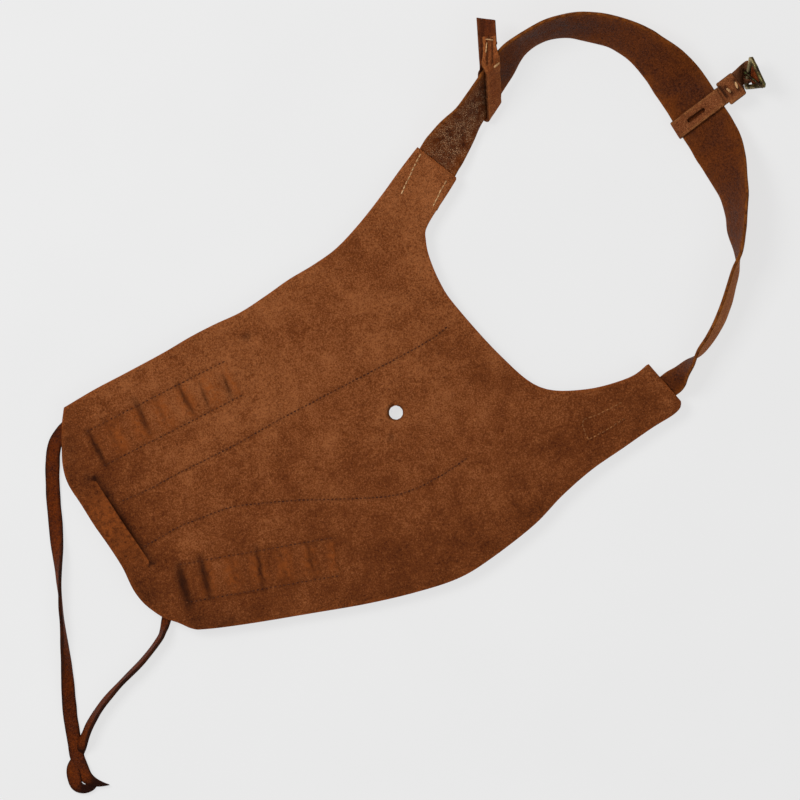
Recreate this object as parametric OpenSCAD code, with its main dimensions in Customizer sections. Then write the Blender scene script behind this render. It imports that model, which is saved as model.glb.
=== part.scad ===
// A small leather work apron that hangs from one shoulder, lying flat with its rough side up.
// Millimetres. Z is up from the surface that it lies on, and Y runs from the hem to the shoulder.

/* [Leather] */
// Thickness of the main panel
panel_t = 2.4; // [1.8:0.1:2.8]
// Thickness of the pocket and of the loop strips
lining_t = 2; // [1.6:0.1:2.2]
// Thickness of the shoulder strap
strap_t = 2.4; // [2:0.1:2.6]
// Thickness of the narrow bands round the strap
band_t = 1.8; // [1.4:0.1:2]

/* [Panel] */
// Diameter of the punched hole that hangs the apron on a peg
hole_d = 9.1; // [6:0.1:12]
// Width of the slit that a belt passes through
slit_w = 3; // [2:0.5:4]
// Length of the slit
slit_len = 62; // [50:1:64]
// How far the belt strip stands above the panel
belt_rise = 5; // [3:0.5:7]

/* [Pocket and loops] */
// Clear height inside the pocket and the loops
pocket_gap = 6; // [5:0.5:7]
// How deep the pocket's mouth is scooped
mouth_scoop = 58; // [50:1:80]
// Distance from one loop to the next
loop_pitch = 17; // [16:0.5:18]
// Clear width of one loop
loop_w = 11.8; // [9:0.2:12]
// Width of the strip that forms a row of loops
loop_strip_w = 29; // [24:1:30]

/* [Bands round the strap] */
// Width of the slotted band and of the stub band
band_w = 12.4; // [10:0.2:14]
// Space between the slotted band and the strap
band_clear = 0.4; // [0.3:0.05:0.6]
// Length of the slot in the band
slot_len = 13.8; // [8:0.2:15]
// Width of the slot in the band
slot_w = 2.7; // [1.5:0.1:3]

/* [Buckle] */
// Length of the frame's bar between its corners
bar_len = 22; // [21:0.5:24]
// Diameter of the bar
bar_d = 3; // [2.6:0.1:3.2]
// Height of the frame from the bar to its point
frame_h = 17.8; // [17:0.1:20]
// Thickness of the frame's two sides
side_d = 2.4; // [2:0.1:2.8]
// Thickness of the prong
prong_d = 1.6; // [1.4:0.1:1.8]

/* [Thongs and thread] */
// Width of a thong
thong_w = 9.4; // [7:0.1:10]
// Thickness of a thong
thong_t = 2.4; // [2:0.1:2.6]
// Width of the sewing thread
thread_w = 0.8; // [0.6:0.1:1]

/* [Hidden] */

suede = [0.43, 0.24, 0.13];
dark_grain = [0.25, 0.15, 0.10];
pale_flesh = [0.50, 0.28, 0.16];
thread_tan = [0.78, 0.58, 0.36];
old_brass = [0.48, 0.42, 0.24];

// The panel's underside stands on the pocket and the loops
panel_z = lining_t + pocket_gap;
panel_top = panel_z + panel_t;
// Layers sewn under the panel stay this far from it
seat = 0.08;
thread_h = 0.35;

// Panel outline, in order round the panel; each list is one smooth stretch
upper_edge = [[-33.5, -243], [-37, -220], [-39.2, -198], [-42.3, -170], [-45.3, -150], [-47, -132],
    [-48, -113], [-52, -93], [-56, -76], [-58.8, -58], [-63.2, -40], [-72.5, -20], [-84, 0],
    [-95.3, 18], [-104.5, 33.6]];
neckline = [[-76, 50], [-69, 40.5], [-54.6, 20.5], [-46, 16], [-34.5, 14], [-17.5, 14.3], [0, 17.8],
    [41, 32.7], [70, 49], [82.5, 76], [86, 105], [82.3, 120]];
lower_edge = [[113, 130.6], [116.8, 128.5], [119.5, 121.8], [122, 107], [127.2, 84], [132.6, 60],
    [141, 36], [151.8, 12], [161.5, -22], [165.5, -46], [163.8, -74], [158.6, -108], [150.8, -144],
    [142.8, -180], [136.8, -204], [132.8, -217]];
hem = [[130, -220.8], [124, -226.5], [118, -233.5], [110, -239.2], [102, -243.2], [92, -245.6],
    [77, -246.6], [60, -249.6], [44, -253.3], [30, -256], [14, -259], [2, -258], [-10, -254],
    [-25, -247.8]];

hole_at = [50.4, -44];
slit_at = [49.5, -236.8];
slit_heading = 11.6;
// The belt strip reaches past the hem before it is trimmed to the outline, and a little way into the panel
strip_reach = 30;
strip_lap = 1;

// Seams of the pocket, from its toe to its mouth
upper_seam = [[37, -231], [36.5, -212], [34, -189], [30.6, -147.5], [25.7, -111], [16.4, -16], [11, 8]];
lower_seam = [[70, -229], [66.5, -203], [66.5, -184], [67.4, -166], [72.8, -145.6], [80, -122.5],
    [95.3, -81], [100.8, -58], [99.8, -35], [95, -12]];
pocket_toe = -228;
pocket_rows = 16;
flange = 4;
// Distances in from the pocket's edge where its wall leaves the panel and where it reaches its depth
wall_start = 8;
wall_end = 17;

loop_count = 6;
upper_row_at = [-5.5, -184];
upper_row_heading = 95;
lower_row_at = [112, -165];
lower_row_heading = 78;
loop_depth_power = 0.55;
// Flat end of a strip past its last loop, and the sewing's distance in from the strip's long sides
loop_end = 4;
loop_sewing_inset = 2;

// Strap stations: x, y, width, tilt, and height of the lower edge above the surface
tab_lift = panel_z - strap_t - seat;
strap_route = [
    [-72, 20.5, 28.8, 0, tab_lift], [-81.5, 31.3, 28.8, 0, tab_lift], [-91, 42.6, 28.9, 0, tab_lift],
    [-94, 46.6, 29, 2, 5.4], [-98, 52.5, 29.2, 18, 4.5], [-104.5, 62.5, 29.5, 37, 3.2],
    [-110.4, 71.9, 29.8, 52.5, 4], [-117.1, 81.9, 29.8, 55, 4.2], [-123.8, 91.8, 29.8, 55, 4.2],
    [-130.5, 101.8, 29.8, 56, 4.1], [-136.8, 111.2, 29.9, 61.5, 3], [-140.6, 120.5, 30.2, 68.5, 1.5],
    [-142.9, 131, 30.6, 71.5, 0.5], [-143.2, 141.5, 31, 70, 0], [-141, 153, 31.3, 66.5, 0],
    [-136.6, 163.2, 31.6, 60.5, 0], [-130, 174.2, 31.9, 56.5, 0], [-123, 182.7, 32.2, 54.5, 0],
    [-113.3, 191.3, 32.6, 48.5, 0.3], [-103.8, 197, 32.9, 42, 0.8], [-92.1, 202.5, 33.3, 28, 1.8],
    [-80.5, 206.4, 33.6, 13, 3], [-72, 208.5, 33.8, 9, 3.8], [-64.1, 209.9, 33.8, 9, 3.8],
    [-56.2, 211.3, 33.8, 9, 3.8], [-48.3, 212.7, 33.8, 9, 3.8], [-40.4, 214.1, 33.8, 10, 3.7],
    [-31, 214.9, 33.7, 17, 2.5], [-21.5, 214.7, 33.3, 32, 1.2], [-9.2, 213.9, 32.8, 48.5, 0.3],
    [1.7, 212.7, 32.2, 60.5, 0], [14.1, 209.1, 31.2, 69.5, 0], [24.5, 205.3, 30.2, 73.5, 0],
    [36.9, 201.4, 29, 86, 0], [46.5, 196, 27.8, 100, 0], [56.7, 188.3, 26.5, 103.5, 0],
    [67, 180.2, 25, 106, 0], [75.3, 172.2, 23.6, 106, 0], [82.9, 162.6, 22, 104, 0],
    [88.3, 153.2, 20.2, 99, 0.5], [92.2, 145.5, 18.8, 76, 1.5], [96, 138, 17.6, 57, 3],
    [98.8, 132.4, 16.8, 25, 4.5], [100.4, 127.8, 16.2, 2, 5.3], [102.6, 119, 16, 0, tab_lift],
    [104.3, 100, 15.8, 0, tab_lift], [106.8, 61, 15.6, 0, tab_lift]];

// Where the slotted band sits on the strap: place, heading and tilt of the strap, and its own skew
band_at = [-56.2, 211.3, 7.63];
band_heading = 10;
band_tilt = 9;
band_skew = 5;
band_strap_w = 33.8;
cover_w = 17;
tongue_from = 18.2;
tongue_to = 26;
cover_from = 20.4;
cover_to = 33;
// The chape is a little narrower than the cover; its two ears start at the cover's end, this far off centre
chape_w = 16.4;
ear_root = 5.2;
ear_root_size = [5.6, 0.5, 3.2];
// The slot's middle along the band, and each stitch's place and turn on the cover
slot_y = -1.6;
band_stitch_at = [[0.2, 31, -17], [-0.1, 24.9, 9]];
band_stitch_size = [4.4, 1.3, 0.5];

// Where the stub band sits on the strap
stub_at = [-123.8, 91.8, 17.1];
stub_heading = 124;
stub_tilt = 55;
stub_skew = -37;
stub_strap_w = 29.8;
stub_clear = 1;
// The loop hangs loosely, so it has more room above and below the strap
stub_room = [1.7, 1.3];
stub_tail_at = [-139.1, 97, 31.2];
stub_tail_heading = 161.3;
stub_tail_drop = 16;
// The tail starts along the strap's edge, which crosses the band at a slant; its layers end at a slant
tail_start = 1.2;
tail_slant = 1.31;
tail_back_end = [26.2, 28.6];
tail_front_half = 5.2;
tail_front_end = [14.5, 14];

// The buckle's bar: its middle, and the frame's roll, pitch and heading about it
bar_at = [-68.7, 251.4, 9.4];
bar_turn = [55, 33, -29];
bar_clear = 0.08;
ear_half = 7;
notch_half = 3;

// Thong stations: x, y, width, tilt, and height of the lower edge above the surface
thong_lift = panel_z - thong_t - seat;
long_route = [
    [-24.5, -235, thong_w, 0, thong_lift], [-22, -243.5, thong_w, 0, thong_lift - 0.4],
    [-18.5, -251, thong_w, 6, 3], [-12.5, -258.6, thong_w, 10, 0.8], [1, -265.6, thong_w, 0, 0],
    [19.5, -272.2, thong_w, 0, 0], [38, -278, thong_w, 8, 0], [60.5, -285, thong_w, 60, 0],
    [72, -289.2, thong_w, 78, 0], [84, -293.2, thong_w, 90, 0], [97, -297, thong_w, 95, 0],
    [119, -303.4, thong_w, 125, 0], [132, -307.7, thong_w, 145, 0], [144, -311.7, thong_w, 162, 0],
    [158, -315.8, thong_w, 176, 0], [170, -318.5, thong_w, 180, 0], [180, -320.5, thong_w, 180, 0.5]];
short_route = [
    [112.5, -227.5, thong_w, 0, thong_lift], [116.5, -231, thong_w, 3, thong_lift - 1.6],
    [120.8, -234.2, thong_w, 28, 1.2], [125.2, -237.6, thong_w, 66, 0.4], [130, -242.5, thong_w, 74, 0],
    [139, -258, thong_w, 74, 0], [146.5, -275.5, thong_w, 77, 0], [153.5, -289.3, thong_w, 70, 0],
    [159, -298, thong_w, 66, 0], [164.5, -305, thong_w, 62, 0.4], [169, -309.5, thong_w, 60, 1]];
knot_balls = [[178, -320.5, 4.4], [187, -327, 4.6], [199, -325.5, 3.6], [192, -319.5, 4.2]];
knot_tail = [[197, -318.5, 2.8], [205, -308.6, 1.2]];
// The short thong runs into the knot here
knot_entry = [[172.2, -312.6, 3.2], [178, -320.5, 4]];

// A smooth curve through control points, with a number of steps between each two
function curve_point(a, b, c, d, t) =
    0.5 * (2 * b + (c - a) * t + (2 * a - 5 * b + 4 * c - d) * t * t + (3 * b - a - 3 * c + d) * t * t * t);
function curve(p, steps) = let (last = len(p) - 1)
    [for (i = [0:last - 1], k = [0:steps - 1])
        curve_point(p[max(i - 1, 0)], p[i], p[i + 1], p[min(i + 2, last)], k / steps), p[last]];

// Plan heading of a route at one of its points
function heading(route, i) = let (a = route[max(i - 1, 0)], b = route[min(i + 1, len(route) - 1)])
    atan2(b[1] - a[1], b[0] - a[0]);

// One cross-section of a tilted band: points [across, up] carried to the route's place and tilt
function section(station, head, thick, outline) =
    let (tilt = station[3],
        rise = station[2] / 2 * abs(sin(tilt)) + thick / 2 * abs(cos(tilt)),
        middle = [station[0], station[1], station[4] + rise],
        across = [-sin(head) * cos(tilt), cos(head) * cos(tilt), sin(tilt)],
        up = [sin(head) * sin(tilt), -cos(head) * sin(tilt), cos(tilt)])
    [for (p = outline) middle + across * p[0] + up * p[1]];

function flat_outline(w, t) = [[-w, t] / 2, [w, t] / 2, [w, -t] / 2, [-w, -t] / 2];
function soft_outline(w, t) = let (c = t / 4)
    [[-w / 2, c], [-w / 2 + c, t / 2], [w / 2 - c, t / 2], [w / 2, c],
     [w / 2, -c], [w / 2 - c, -t / 2], [-w / 2 + c, -t / 2], [-w / 2, -c]];

// A closed solid through a row of rings; a ring's first half lies above its second half
module skin(rings) {
    n = len(rings[0]);
    last = len(rings) - 1;
    sides = [for (i = [0:last - 1], j = [0:n - 1]) let (k = (j + 1) % n)
        each [[i * n + j, i * n + k, i * n + n + k], [i * n + j, i * n + n + k, i * n + n + j]]];
    ends = [for (j = [0:n / 2 - 2]) let (a = j, b = j + 1, c = n - 2 - j, d = n - 1 - j, e = last * n)
        each [[a, c, b], [a, d, c], [e + a, e + b, e + c], [e + a, e + c, e + d]]];
    polyhedron(points = [for (r = rings, p = r) p], faces = concat(sides, ends), convexity = 8);
}

module leather_strip(route, thick) {
    path = curve(route, 2);
    skin([for (i = [0:len(path) - 1])
        section(path[i], heading(path, i), thick, flat_outline(path[i][2], thick))]);
}

module thong(route) {
    path = curve(route, 2);
    skin([for (i = [0:len(path) - 1])
        section(path[i], heading(path, i), thong_t, soft_outline(path[i][2], thong_t))]);
}

// A line of sewing on top of the panel
module sewing(path) {
    last = len(path) - 1;
    side = [for (i = [0:last]) let (h = heading(path, i)) [-sin(h), cos(h)] * thread_w / 2];
    translate([0, 0, panel_top])
        linear_extrude(thread_h)
            polygon(concat([for (i = [0:last]) path[i] + side[i]],
                [for (i = [last:-1:0]) path[i] - side[i]]));
}

module outline_2d() {
    polygon(concat(curve(upper_edge, 4), curve(neckline, 4), curve(lower_edge, 4), curve(hem, 4)));
}

module belt_strip_2d() {
    intersection() {
        outline_2d();
        translate(slit_at) rotate(slit_heading)
            translate([-slit_len / 2 - strip_lap, -strip_reach])
                square([slit_len + 2 * strip_lap, strip_reach - slit_w / 2]);
    }
}

// Belt strip seen from the hem: level with the panel at both ends and raised in the middle
module belt_arch_2d() {
    steps = 16;
    end = slit_len / 2 + strip_lap;
    arch = [for (i = [0:steps]) let (f = i / steps)
        [(f - 0.5) * slit_len, belt_rise * (1 - cos(360 * f)) / 2]];
    rise = concat([[-end, 0]], arch, [[end, 0]]);
    polygon(concat(rise, [for (i = [steps + 2:-1:0]) rise[i] + [0, panel_t]]));
}

module main_panel() {
    color(suede) {
        difference() {
            translate([0, 0, panel_z]) linear_extrude(panel_t) outline_2d();
            translate([0, 0, panel_z - 1])
                linear_extrude(panel_t + 2)
                    translate(slit_at) rotate(slit_heading)
                        translate([-slit_len / 2, -strip_reach])
                            square([slit_len, strip_reach + slit_w / 2]);
            translate([hole_at[0], hole_at[1], panel_z - 1])
                cylinder(d = hole_d, h = panel_t + 2, $fn = 48);
        }
        intersection() {
            translate([slit_at[0], slit_at[1], panel_z])
                rotate([0, 0, slit_heading]) rotate([90, 0, 0])
                    linear_extrude(2 * strip_reach, center = true) belt_arch_2d();
            translate([0, 0, panel_z - 1])
                linear_extrude(panel_t + belt_rise + 2) belt_strip_2d();
        }
    }
}

// Pocket wall's depth below the panel, from 0 at its sewn edge to 1 in the middle
function wall_depth(d) = let (u = min(max((d - wall_start) / (wall_end - wall_start), 0), 1))
    u * u * (3 - 2 * u);
function seam_x(seam, y) = lookup(y, [for (p = seam) [p[1], p[0]]]);
function mouth_y(t) = 6 - 20 * t - mouth_scoop * sin(180 * t);

module tool_pocket() {
    steps = [0, 7, 9.5, 12, 14.5, wall_end];
    rings = [for (i = [0:pocket_rows]) let (s = i / pocket_rows,
        y_side = pocket_toe + (mouth_y(0) - pocket_toe) * s,
        top = [for (k = [0:13]) let (
            guess = k < 6 ? 0.02 * k : k > 7 ? 1 - 0.02 * (13 - k) : 0.33 * (k - 5),
            y = pocket_toe + (mouth_y(guess) - pocket_toe) * s,
            a = seam_x(upper_seam, y) - flange,
            b = seam_x(lower_seam, y) + flange,
            d = k < 6 ? steps[k] : k > 7 ? steps[13 - k] : wall_end,
            x = k < 6 ? a + d : k > 7 ? b - d : a + wall_end + (b - a - 2 * wall_end) * 0.33 * (k - 5))
            [x, y, panel_z - seat - (pocket_gap - seat) * wall_depth(d)]])
        concat(top, [for (k = [13:-1:0]) top[k] - [0, 0, lining_t]])];
    color(suede) skin(rings);
}

// One side of the strip where it bows down into a loop, from low x to high x
function loop_bow(middle, w, h, from) = [for (a = [180 - from:-12:from - 0.01]) let (c = cos(a))
    [middle + w / 2 * sign(c) * pow(abs(c), loop_depth_power), -h * pow(sin(a), loop_depth_power)]];

module loop_strip(place, head) {
    half = loop_count * loop_pitch / 2 + loop_end;
    middles = [for (i = [0:loop_count - 1]) (i - (loop_count - 1) / 2) * loop_pitch];
    outside = [for (m = middles) each
        let (bow = loop_bow(m, loop_w + 2 * lining_t, pocket_gap + lining_t - seat, 12))
        concat([[bow[0][0], -lining_t]], bow, [[bow[len(bow) - 1][0], -lining_t]])];
    inside = [for (m = middles) each
        let (bow = loop_bow(m, loop_w, pocket_gap - seat, 12))
        concat([[bow[0][0], 0]], bow, [[bow[len(bow) - 1][0], 0]])];
    last = len(inside) - 1;
    color(suede)
        translate([place[0], place[1], panel_z - seat])
            rotate([0, 0, head]) rotate([90, 0, 0])
                linear_extrude(loop_strip_w, center = true)
                    polygon(concat([[-half, 0], [-half, -lining_t]], outside, [[half, -lining_t], [half, 0]],
                        [for (i = [last:-1:0]) inside[i]]));
}

module upper_loop_strip() {
    loop_strip(upper_row_at, upper_row_heading);
}

module lower_loop_strip() {
    loop_strip(lower_row_at, lower_row_heading);
}

module shoulder_strap() {
    color(dark_grain) leather_strip(strap_route, strap_t);
}

module upper_pocket_seam() {
    color(thread_tan) sewing(curve(upper_seam, 4));
}

module lower_pocket_seam() {
    color(thread_tan) sewing(curve(lower_seam, 4));
}

// Sewing along the two long sides of a row of loops
module loop_stitching(place, head) {
    half = loop_count * loop_pitch / 2;
    inset = loop_strip_w / 2 - loop_sewing_inset;
    for (side = [-inset, inset])
        color(thread_tan) sewing([for (x = [-half, half])
            place + [cos(head) * x - sin(head) * side, sin(head) * x + cos(head) * side]]);
}

module upper_loop_stitching() {
    loop_stitching(upper_row_at, upper_row_heading);
}

module lower_loop_stitching() {
    loop_stitching(lower_row_at, lower_row_heading);
}

module wide_tab_stitching() {
    color(thread_tan) {
        sewing([[-99.6, 34], [-90, 23], [-80, 12.4]]);
        sewing([[-77.3, 42.8], [-71, 35.5], [-64.8, 28.4]]);
    }
}

module narrow_tab_stitching() {
    color(thread_tan)
        sewing([[99.2, 95], [100.6, 79], [100.3, 66], [107.5, 65], [113.7, 65], [112, 80], [109.4, 93]]);
}

module on_strap(place, head, tilt) {
    translate(place) rotate([0, 0, head]) rotate([tilt, 0, 0]) children();
}

// A loop of band round a flat strap, cut to the band's width at a skew
module band_loop(profile_w, up, down, wall, skew) {
    intersection() {
        rotate([90, 0, 90])
            linear_extrude(120, center = true)
                difference() {
                    translate([-profile_w / 2 - wall, -down - wall])
                        square([profile_w + 2 * wall, up + down + 2 * wall]);
                    translate([-profile_w / 2, -down]) square([profile_w, up + down]);
                }
        rotate([0, 0, skew]) cube([band_w, 160, 40], center = true);
    }
}

module slotted_band() {
    hollow = strap_t / 2 + band_clear;
    color(pale_flesh)
        on_strap(band_at, band_heading, band_tilt)
            difference() {
                union() {
                    band_loop(band_strap_w + 2 * band_clear, hollow, hollow, band_t, band_skew);
                    rotate([0, 0, band_skew])
                        translate([-band_w / 2, tongue_from, -1]) cube([band_w, tongue_to - tongue_from, 2]);
                }
                rotate([0, 0, band_skew])
                    translate([0, slot_y, hollow - 0.5]) {
                        translate([-slot_w / 2, -(slot_len - slot_w) / 2, 0])
                            cube([slot_w, slot_len - slot_w, band_t + 1]);
                        for (y = [-1, 1] * (slot_len - slot_w) / 2)
                            translate([0, y, 0]) cylinder(d = slot_w, h = band_t + 1, $fn = 24);
                    }
            }
}

module band_cover() {
    color(pale_flesh)
        on_strap(band_at, band_heading, band_tilt)
            rotate([0, 0, band_skew])
                translate([-cover_w / 2, cover_from, 1]) cube([cover_w, cover_to - cover_from, band_t]);
}

module on_bar() {
    translate(bar_at) rotate(bar_turn) children();
}

// Lower layer of the fold, its return under the cover, and the two ears that wrap the bar
module buckle_chape() {
    bore_d = bar_d + 2 * bar_clear;
    ear_w = ear_half - notch_half;
    turn_back = tongue_to + 0.2;
    color(dark_grain) {
        on_strap(band_at, band_heading, band_tilt) rotate([0, 0, band_skew]) rotate([90, 0, 90])
            linear_extrude(chape_w, center = true)
                polygon([[cover_from, -1 - band_t], [cover_to, -1 - band_t], [cover_to, 1], [turn_back, 1],
                    [turn_back, -1], [cover_from, -1]]);
        for (side = [-1, 1])
            hull() {
                on_strap(band_at, band_heading, band_tilt) rotate([0, 0, band_skew])
                    translate([side * ear_root, cover_to - 0.7, -0.9]) cube(ear_root_size, center = true);
                on_bar() translate([side * (ear_half + notch_half) / 2, 0, bore_d / 2 + 0.9])
                    cube([ear_w - 0.5, 2.6, 0.9], center = true);
            }
        for (side = [-1, 1])
            on_bar() translate([side * (ear_half + notch_half) / 2, 0, 0]) rotate([0, 90, 0])
                difference() {
                    cylinder(d = bore_d + 2 * band_t, h = ear_w, center = true, $fn = 32);
                    cylinder(d = bore_d, h = 2 * ear_w, center = true, $fn = 32);
                }
    }
}

module band_stitches() {
    color(thread_tan)
        on_strap(band_at, band_heading, band_tilt)
            rotate([0, 0, band_skew])
                for (p = band_stitch_at)
                    translate([p[0], p[1], 1 + band_t + band_stitch_size[2] / 2])
                        rotate([0, 0, p[2]]) cube(band_stitch_size, center = true);
}

module buckle_frame() {
    corners = [[-bar_len / 2, 0, 0], [bar_len / 2, 0, 0]];
    side_len = norm([bar_len / 2, frame_h]);
    lean = atan2(bar_len / 2, frame_h);
    color(old_brass)
        on_bar() {
            rotate([0, 90, 0]) cylinder(d = bar_d, h = bar_len, center = true, $fn = 32);
            for (side = [-1, 1])
                translate([side * bar_len / 2, 0, 0]) {
                    sphere(d = bar_d + 0.3, $fn = 32);
                    rotate([-90, 0, side * lean]) cylinder(d = side_d, h = side_len, $fn = 32);
                }
            translate([0, frame_h, 0]) sphere(d = bar_d, $fn = 32);
        }
}

module buckle_prong() {
    curl_in = bar_d / 2 + bar_clear;
    shank = curl_in + prong_d / 2 + 0.15;
    color(old_brass)
        on_bar() {
            rotate([0, 90, 0])
                difference() {
                    cylinder(r = curl_in + prong_d * 0.8, h = prong_d * 1.4, center = true, $fn = 40);
                    cylinder(r = curl_in, h = prong_d * 2, center = true, $fn = 40);
                }
            translate([0, -0.6, shank]) rotate([-90, 0, 0])
                cylinder(d = prong_d, h = frame_h + 2.4, $fn = 32);
        }
}

module stub_band() {
    tail_half = band_w / 2 - 0.1;
    front_half = tail_front_half;
    color(pale_flesh) {
        on_strap(stub_at, stub_heading, stub_tilt)
            band_loop(stub_strap_w + 2 * stub_clear, strap_t / 2 + stub_room[0], strap_t / 2 + stub_room[1],
                band_t, stub_skew);
        translate(stub_tail_at) rotate([0, stub_tail_drop, stub_tail_heading]) {
            translate([0, 0, -band_t])
                linear_extrude(band_t + 0.1)
                    polygon([[tail_start - tail_half * tail_slant, tail_half],
                        [tail_start + tail_half * tail_slant, -tail_half],
                        [tail_back_end[0], -tail_half], [tail_back_end[1], tail_half]]);
            linear_extrude(band_t)
                polygon([[tail_start - front_half * tail_slant, front_half],
                    [tail_start + front_half * tail_slant, -front_half],
                    [tail_front_end[0], -front_half], [tail_front_end[1], front_half]]);
        }
    }
}

module stub_stitches() {
    color(thread_tan)
        translate(stub_tail_at) rotate([0, stub_tail_drop, stub_tail_heading])
            translate([0, 0, band_t]) {
                translate([11.2, -3.8, 0]) rotate([0, 0, 78]) cube([5.2, 0.9, 0.5]);
                translate([2, 0.6, 0]) rotate([0, 0, -4]) cube([8.5, 0.7, 0.5]);
            }
}

module long_thong() {
    color(dark_grain) thong(long_route);
}

module short_thong() {
    color(dark_grain) thong(short_route);
}

module thong_knot() {
    color(dark_grain)
        for (lump = [knot_balls, knot_tail, knot_entry])
            hull()
                for (b = lump)
                    translate([b[0], b[1], b[2] + 0.3]) sphere(r = b[2], $fn = 16);
}

main_panel();
tool_pocket();
upper_loop_strip();
lower_loop_strip();
shoulder_strap();
upper_pocket_seam();
lower_pocket_seam();
upper_loop_stitching();
lower_loop_stitching();
wide_tab_stitching();
narrow_tab_stitching();
slotted_band();
band_cover();
buckle_chape();
band_stitches();
buckle_frame();
buckle_prong();
stub_band();
stub_stitches();
long_thong();
short_thong();
thong_knot();
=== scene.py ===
import random
from math import atan2, copysign, cos, exp, hypot, pi, radians, sin, sqrt, tan, tau

import bpy
from mathutils import Euler, Matrix, Vector, geometry, kdtree, noise


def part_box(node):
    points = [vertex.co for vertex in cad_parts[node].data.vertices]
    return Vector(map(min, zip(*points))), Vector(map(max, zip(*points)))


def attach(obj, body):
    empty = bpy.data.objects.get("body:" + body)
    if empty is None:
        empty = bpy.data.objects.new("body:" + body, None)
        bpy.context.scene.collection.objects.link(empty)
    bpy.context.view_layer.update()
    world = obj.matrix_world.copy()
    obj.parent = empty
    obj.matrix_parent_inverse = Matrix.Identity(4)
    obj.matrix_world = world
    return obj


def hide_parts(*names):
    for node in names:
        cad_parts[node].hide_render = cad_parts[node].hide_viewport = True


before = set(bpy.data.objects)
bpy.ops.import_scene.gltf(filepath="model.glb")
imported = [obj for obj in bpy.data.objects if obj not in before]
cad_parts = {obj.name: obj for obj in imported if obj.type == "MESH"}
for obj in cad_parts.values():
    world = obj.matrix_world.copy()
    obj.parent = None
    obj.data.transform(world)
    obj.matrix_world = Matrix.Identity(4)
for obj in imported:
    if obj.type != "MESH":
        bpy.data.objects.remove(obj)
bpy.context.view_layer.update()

# Sizes are in millimetres until a mesh is made. X runs down the picture, Y from the hem to the
# shoulder loop, and Z up from the surface.
MM = 0.001

# ---- sizes shared with the CAD part
panel_t = 2.4
lining_t = 2.0
strap_t = 2.4
band_t = 1.8
seat = 0.08
panel_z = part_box("main_panel")[0].z / MM
panel_top = panel_z + panel_t

upper_edge = [(-33.5, -243), (-37, -220), (-39.2, -198), (-42.3, -170), (-45.3, -150), (-47, -132),
              (-48, -113), (-52, -93), (-56, -76), (-58.8, -58), (-63.2, -40), (-72.5, -20), (-84, 0),
              (-95.3, 18), (-104.5, 33.6)]
neckline = [(-76, 50), (-69, 40.5), (-54.6, 20.5), (-46, 16), (-34.5, 14), (-17.5, 14.3), (0, 17.8),
            (41, 32.7), (70, 49), (82.5, 76), (86, 105), (82.3, 120)]
lower_edge = [(113, 130.6), (116.8, 128.5), (119.5, 121.8), (122, 107), (127.2, 84), (132.6, 60),
              (141, 36), (151.8, 12), (161.5, -22), (165.5, -46), (163.8, -74), (158.6, -108),
              (150.8, -144), (142.8, -180), (136.8, -204), (132.8, -217)]
hem = [(130, -220.8), (124, -226.5), (118, -233.5), (110, -239.2), (102, -243.2), (92, -245.6),
       (77, -246.6), (60, -249.6), (44, -253.3), (30, -256), (14, -259), (2, -258), (-10, -254),
       (-25, -247.8)]
hole_at = (50.4, -44)
hole_r = 4.55
slit_at = (49.5, -236.8)
slit_turn = radians(11.6)
slit_w = 3.0
slit_len = 62.0
strip_reach = 30.0
belt_rise = 5.0

upper_seam = [(37, -231), (36.5, -212), (34, -189), (30.6, -147.5), (25.7, -111), (16.4, -16), (11, 8)]
lower_seam = [(70, -229), (66.5, -203), (66.5, -184), (67.4, -166), (72.8, -145.6), (80, -122.5),
              (95.3, -81), (100.8, -58), (99.8, -35), (95, -12)]
pocket_toe = -228.0
pocket_mouth = 6.0
pocket_gap = 6.0
flange = 4.0
wall_start = 8.0
wall_end = 17.0
mouth_slant = 20.0
mouth_scoop = 58.0

loop_count = 6
loop_pitch = 17.0
loop_w = 11.8
loop_strip_w = 29.0
loop_end = 4.0
loop_sewing_inset = 2.0
loop_power = 0.55
loop_rows = {"upper": ((-5.5, -184), radians(95)), "lower": ((112, -165), radians(78))}

tab_lift = panel_z - strap_t - seat
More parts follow.
